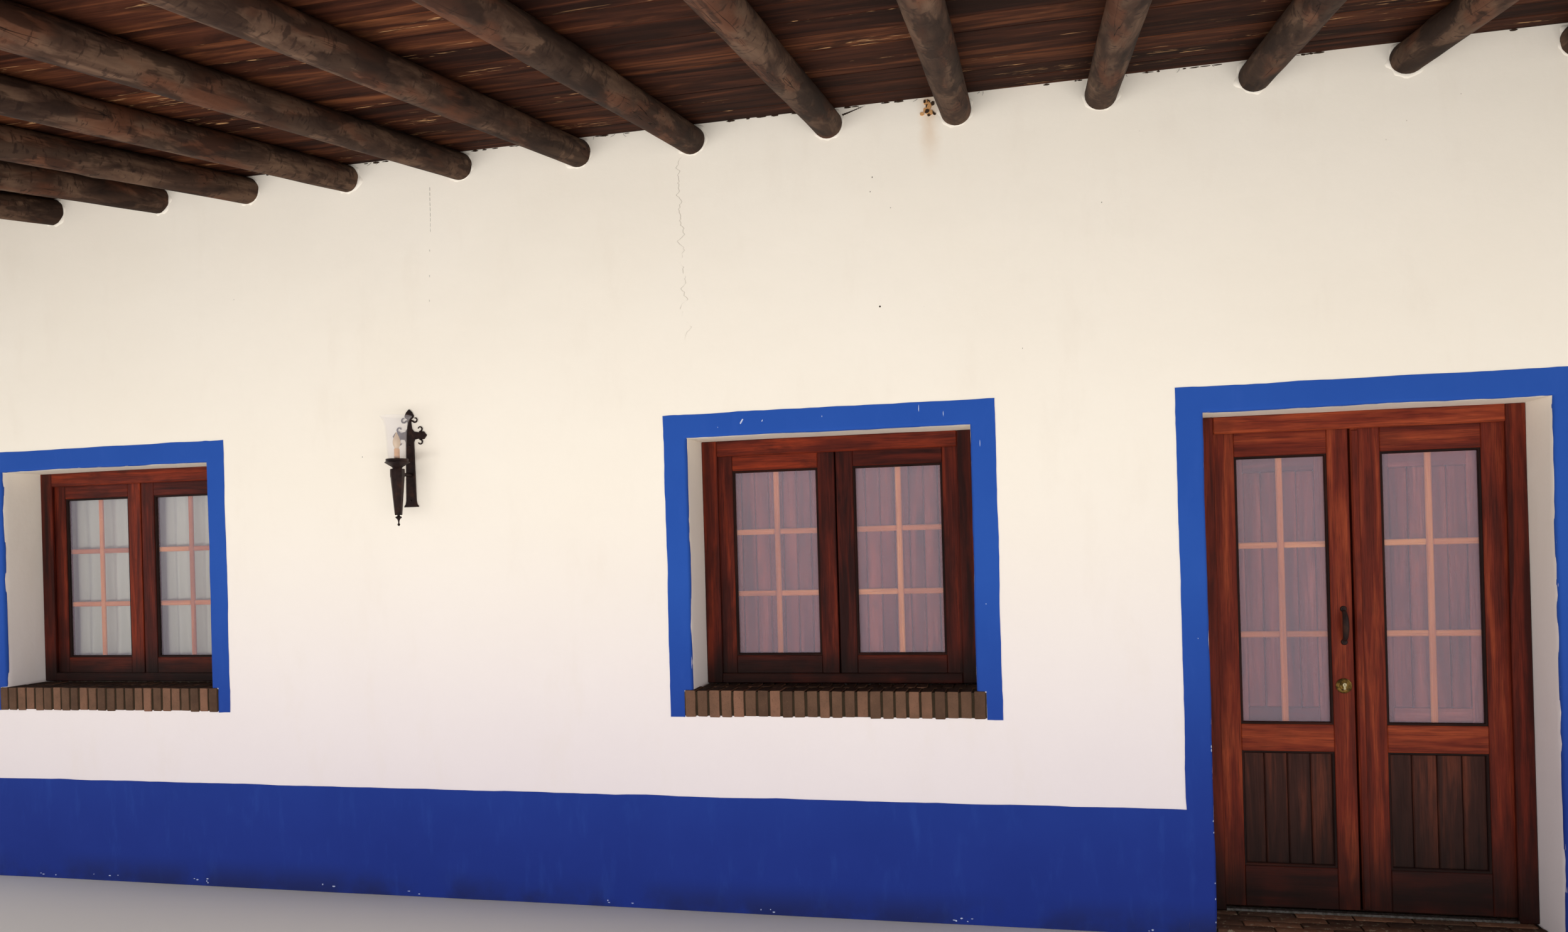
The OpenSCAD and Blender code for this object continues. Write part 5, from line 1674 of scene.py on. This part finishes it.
def marks():
    """Specks, a nail hole, a scratch, chips in the paint, a painted shadow gap under the ceiling, straws and
    plaster broken beside a pole.
    """
    rng = random.Random(12)
    build = Build(rng)
    specks = [
        (1.078, 3.185, 5, 6), (1.068, 3.124, 4, 5), (1.155, 3.046, 3, 4), (2.017, 2.988, 4, 5),
        (1.685, 2.413, 3, 4), (-1.417, 2.094, 4, 5), (1.097, 2.629, 9, 9), (-2.1, 2.9, 3, 3),
    ]
    for x, z, wide, tall in specks:
        fleck(build, x, z, wide / 1000, tall / 1000, 0.0006)
    for k in range(9):
        share = k / 8
        fleck(build, -1.016 - 0.003 * share, 3.34 - 0.195 * share, 0.0016 - 0.0008 * share, 0.021, 0.0005)
    for x, z in ((-1.026, 3.05), (-1.03, 2.93), (-1.035, 2.812)):
        fleck(build, x, z, 0.0012, 0.012, 0.0005)
    chips = [
        (0.469, 2.17, 9, 26, 0.6), (0.563, 2.167, 5, 9, 0.5), (1.248, 2.186, 3, 34, 0.0),
        (1.351, 2.159, 2.5, 26, 0.0), (1.499, 2.028, 3, 30, 0.0), (0.36, 2.150, 3, 4, 0.0),
        (1.508, 1.35, 4, 4, 0.0), (0.83, 2.172, 3, 9, 0.0), (2.343, 1.2, 3, 4, 0.0),
    ]
    for x, z, wide, tall, lean in chips:
        fleck(build, x, z, wide / 1000, tall / 1000, ON_PAINT, 1, lean)
    for centre in (-4.1, -3.3, -2.93, -2.4, -1.66, -1.2, -0.2, 0.55, 1.35, 2.15):
        for _ in range(rng.randint(2, 5)):
            x = centre + rng.gauss(0, 0.05)
            z = 0.012 + abs(rng.gauss(0, 0.012))
            fleck(build, x, z, rng.uniform(0.004, 0.017), rng.uniform(0.003, 0.008), ON_PAINT, 1)
    for _ in range(9):
        z = rng.uniform(0.03, 0.9) ** 1.6
        fleck(build, DOOR_L - 0.003, z, 0.005, rng.uniform(0.006, 0.02), ON_PAINT, 1)
    # Painted shadow: dark flecks along the top of the wall stand for the shadow gap where the plaster meets
    # the ceiling boards.
    for _ in range(150):
        x = rng.uniform(-4.7, 4.7)
        if between_poles(x, 0.015):
            fleck(build, x, CEILING_Z - 0.002, rng.uniform(0.01, 0.05), rng.uniform(0.003, 0.009), 0.0012)
    for _ in range(46):
        x = rng.uniform(-4.6, 4.6)
        if between_poles(x, 0.02):
            drop, aside = rng.uniform(0.006, 0.022), rng.uniform(-0.02, 0.02)
            top = Vector((x, FACE - 0.006, CEILING_Z - 0.003))
            bend = top + Vector((aside * 0.3, -0.004, -drop * 0.5))
            tip = top + Vector((aside, -0.003 - rng.uniform(0, 0.008), -drop))
            build.tube([top, bend, tip], [0.0008, 0.0007, 0.0004], 5)
    for k in range(34):
        x, z = 1.322 + rng.gauss(0, 0.009), min(3.456 + rng.gauss(0, 0.017), 3.485)
        size = rng.uniform(0.008, 0.019)
        tall = size * rng.uniform(0.7, 1.4)
        fleck(build, x, z, size, tall, rng.uniform(0.002, 0.007), 2 * (k % 3 > 0))
    for k in range(9):
        fleck(build, 1.322 + 0.028 * k / 8, 3.428 - 0.006 * math.sin(k), 0.009, 0.009, 0.0045)
    for k in range(12):
        share = k / 11
        tall = 0.0095 * (1 - share) + 0.001
        fleck(build, 0.948 + 0.10 * share, 3.462 + 0.030 * share, 0.015, tall, 0.001, 0, 0.3)
    build.make("wall_marks", [MARK_DARK, MARK_PALE, MARK_EARTH], slot="limewash", sharp=30)


def carried_over():
    """Finishes for the solids that stay in sight, with small bevels on all but the glass."""
    for finish, edge, nodes in (
        (GLASS, 0, ("window_glass", "left_leaf_glass", "right_leaf_glass")),
        (IRON, 0.0008, ("hinge_pins", "left_leaf_hinges", "right_leaf_hinges", "curtain_rod")),
        (BAR_METAL, 0.0008, ("weather_bar",)),
        (RAFTER_WOOD, 0.004, ("rafters", "ridge_board")),
    ):
        for node in nodes:
            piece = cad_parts[node]
            piece.data.materials.clear()
            piece.data.materials.append(finish)
            if edge:
                bevel = piece.modifiers.new("edges", "BEVEL")
                bevel.width = edge
                bevel.segments = 2
                bevel.limit_method = "ANGLE"


plaster()
paint()
pole_collars(porch_timbers())
marks()
roofs()
windows()
door()
sills()
threshold()
floor()
lamp()
door_furniture()
curtains()
carried_over()


# Stage


def link(name, data):
    """Makes an object for data and puts it in the scene."""
    thing = bpy.data.objects.new(name, data)
    bpy.context.scene.collection.objects.link(thing)
    return thing


def studio_floor():
    """A wide pale floor just under the ground."""
    mesh = bpy.data.meshes.new("studio_floor")
    mesh.from_pydata([(-600, -600, 0), (600, -600, 0), (600, 600, 0), (-600, 600, 0)], [], [(0, 1, 2, 3)])
    ground = link("studio_floor", mesh)
    ground.location.z = -0.001
    material = bpy.data.materials.new("studio_floor")
    material.use_nodes = True
    shader = material.node_tree.nodes["Principled BSDF"]
    shader.inputs["Base Color"].default_value = (0.72, 0.70, 0.67, 1)
    shader.inputs["Roughness"].default_value = 0.9
    mesh.materials.append(material)


def studio_world():
    """Even light, with a near-white background for the camera, metal and glass."""
    world = bpy.data.worlds.new("studio")
    bpy.context.scene.world = world
    world.use_nodes = True
    tree = world.node_tree
    light = tree.nodes["Background"]
    white = tree.nodes.new("ShaderNodeBackground")
    for node, colour in ((light, (1.0, 0.985, 0.96, 1)), (white, (0.93, 0.93, 0.94, 1))):
        node.inputs["Color"].default_value = colour
        node.inputs["Strength"].default_value = 1.0
    path = tree.nodes.new("ShaderNodeLightPath")
    seen = path.outputs["Is Camera Ray"]
    for ray in ("Is Glossy Ray", "Is Transmission Ray"):
        either = tree.nodes.new("ShaderNodeMath")
        either.operation = "MAXIMUM"
        tree.links.new(seen, either.inputs[0])
        tree.links.new(path.outputs[ray], either.inputs[1])
        seen = either.outputs[0]
    mix = tree.nodes.new("ShaderNodeMixShader")
    tree.links.new(seen, mix.inputs["Fac"])
    tree.links.new(light.outputs[0], mix.inputs[1])
    tree.links.new(white.outputs[0], mix.inputs[2])
    tree.links.new(mix.outputs[0], tree.nodes["World Output"].inputs["Surface"])


def porch_light():
    """A soft lamp low under the porch that lights its wall and ceiling."""
    data = bpy.data.lights.new("porch_light", "AREA")
    data.shape = "RECTANGLE"
    data.size, data.size_y = 9.3, 0.8
    data.energy = 225
    place, aim = Vector((0, -4.15, 1.0)), Vector((0, -0.5, 5.4))
    light = link("porch_light", data)
    light.location = place
    light.visible_camera = False
    light.visible_glossy = False
    light.rotation_mode = "QUATERNION"
    light.rotation_quaternion = (aim - place).to_track_quat("-Z", "Y")


def camera():
    """The photograph's viewpoint: under the outer edge of the porch, turned a little left."""
    yaw, pitch, roll = math.radians(-12.873), math.radians(0.065), math.radians(-1.587)
    ahead = Vector((math.sin(yaw) * math.cos(pitch), math.cos(yaw) * math.cos(pitch), math.sin(pitch)))
    level = Vector((math.cos(yaw), -math.sin(yaw), 0))
    up = level.cross(ahead)
    right = level * math.cos(roll) + up * math.sin(roll)
    top = up * math.cos(roll) - level * math.sin(roll)
    data = bpy.data.cameras.new("camera")
    data.sensor_width = 36
    data.lens = 25.03
    data.shift_y = 0.0449
    data.clip_start = 0.05
    data.clip_end = 200
    eye = link("camera", data)
    rotation = Matrix((right, top, -ahead)).transposed().to_4x4()
    eye.matrix_world = Matrix.Translation((1.7075, FACE - 4.643, 1.652)) @ rotation
    bpy.context.scene.camera = eye


studio_floor()
studio_world()
porch_light()
camera()
bpy.context.scene.view_settings.view_transform = "Standard"
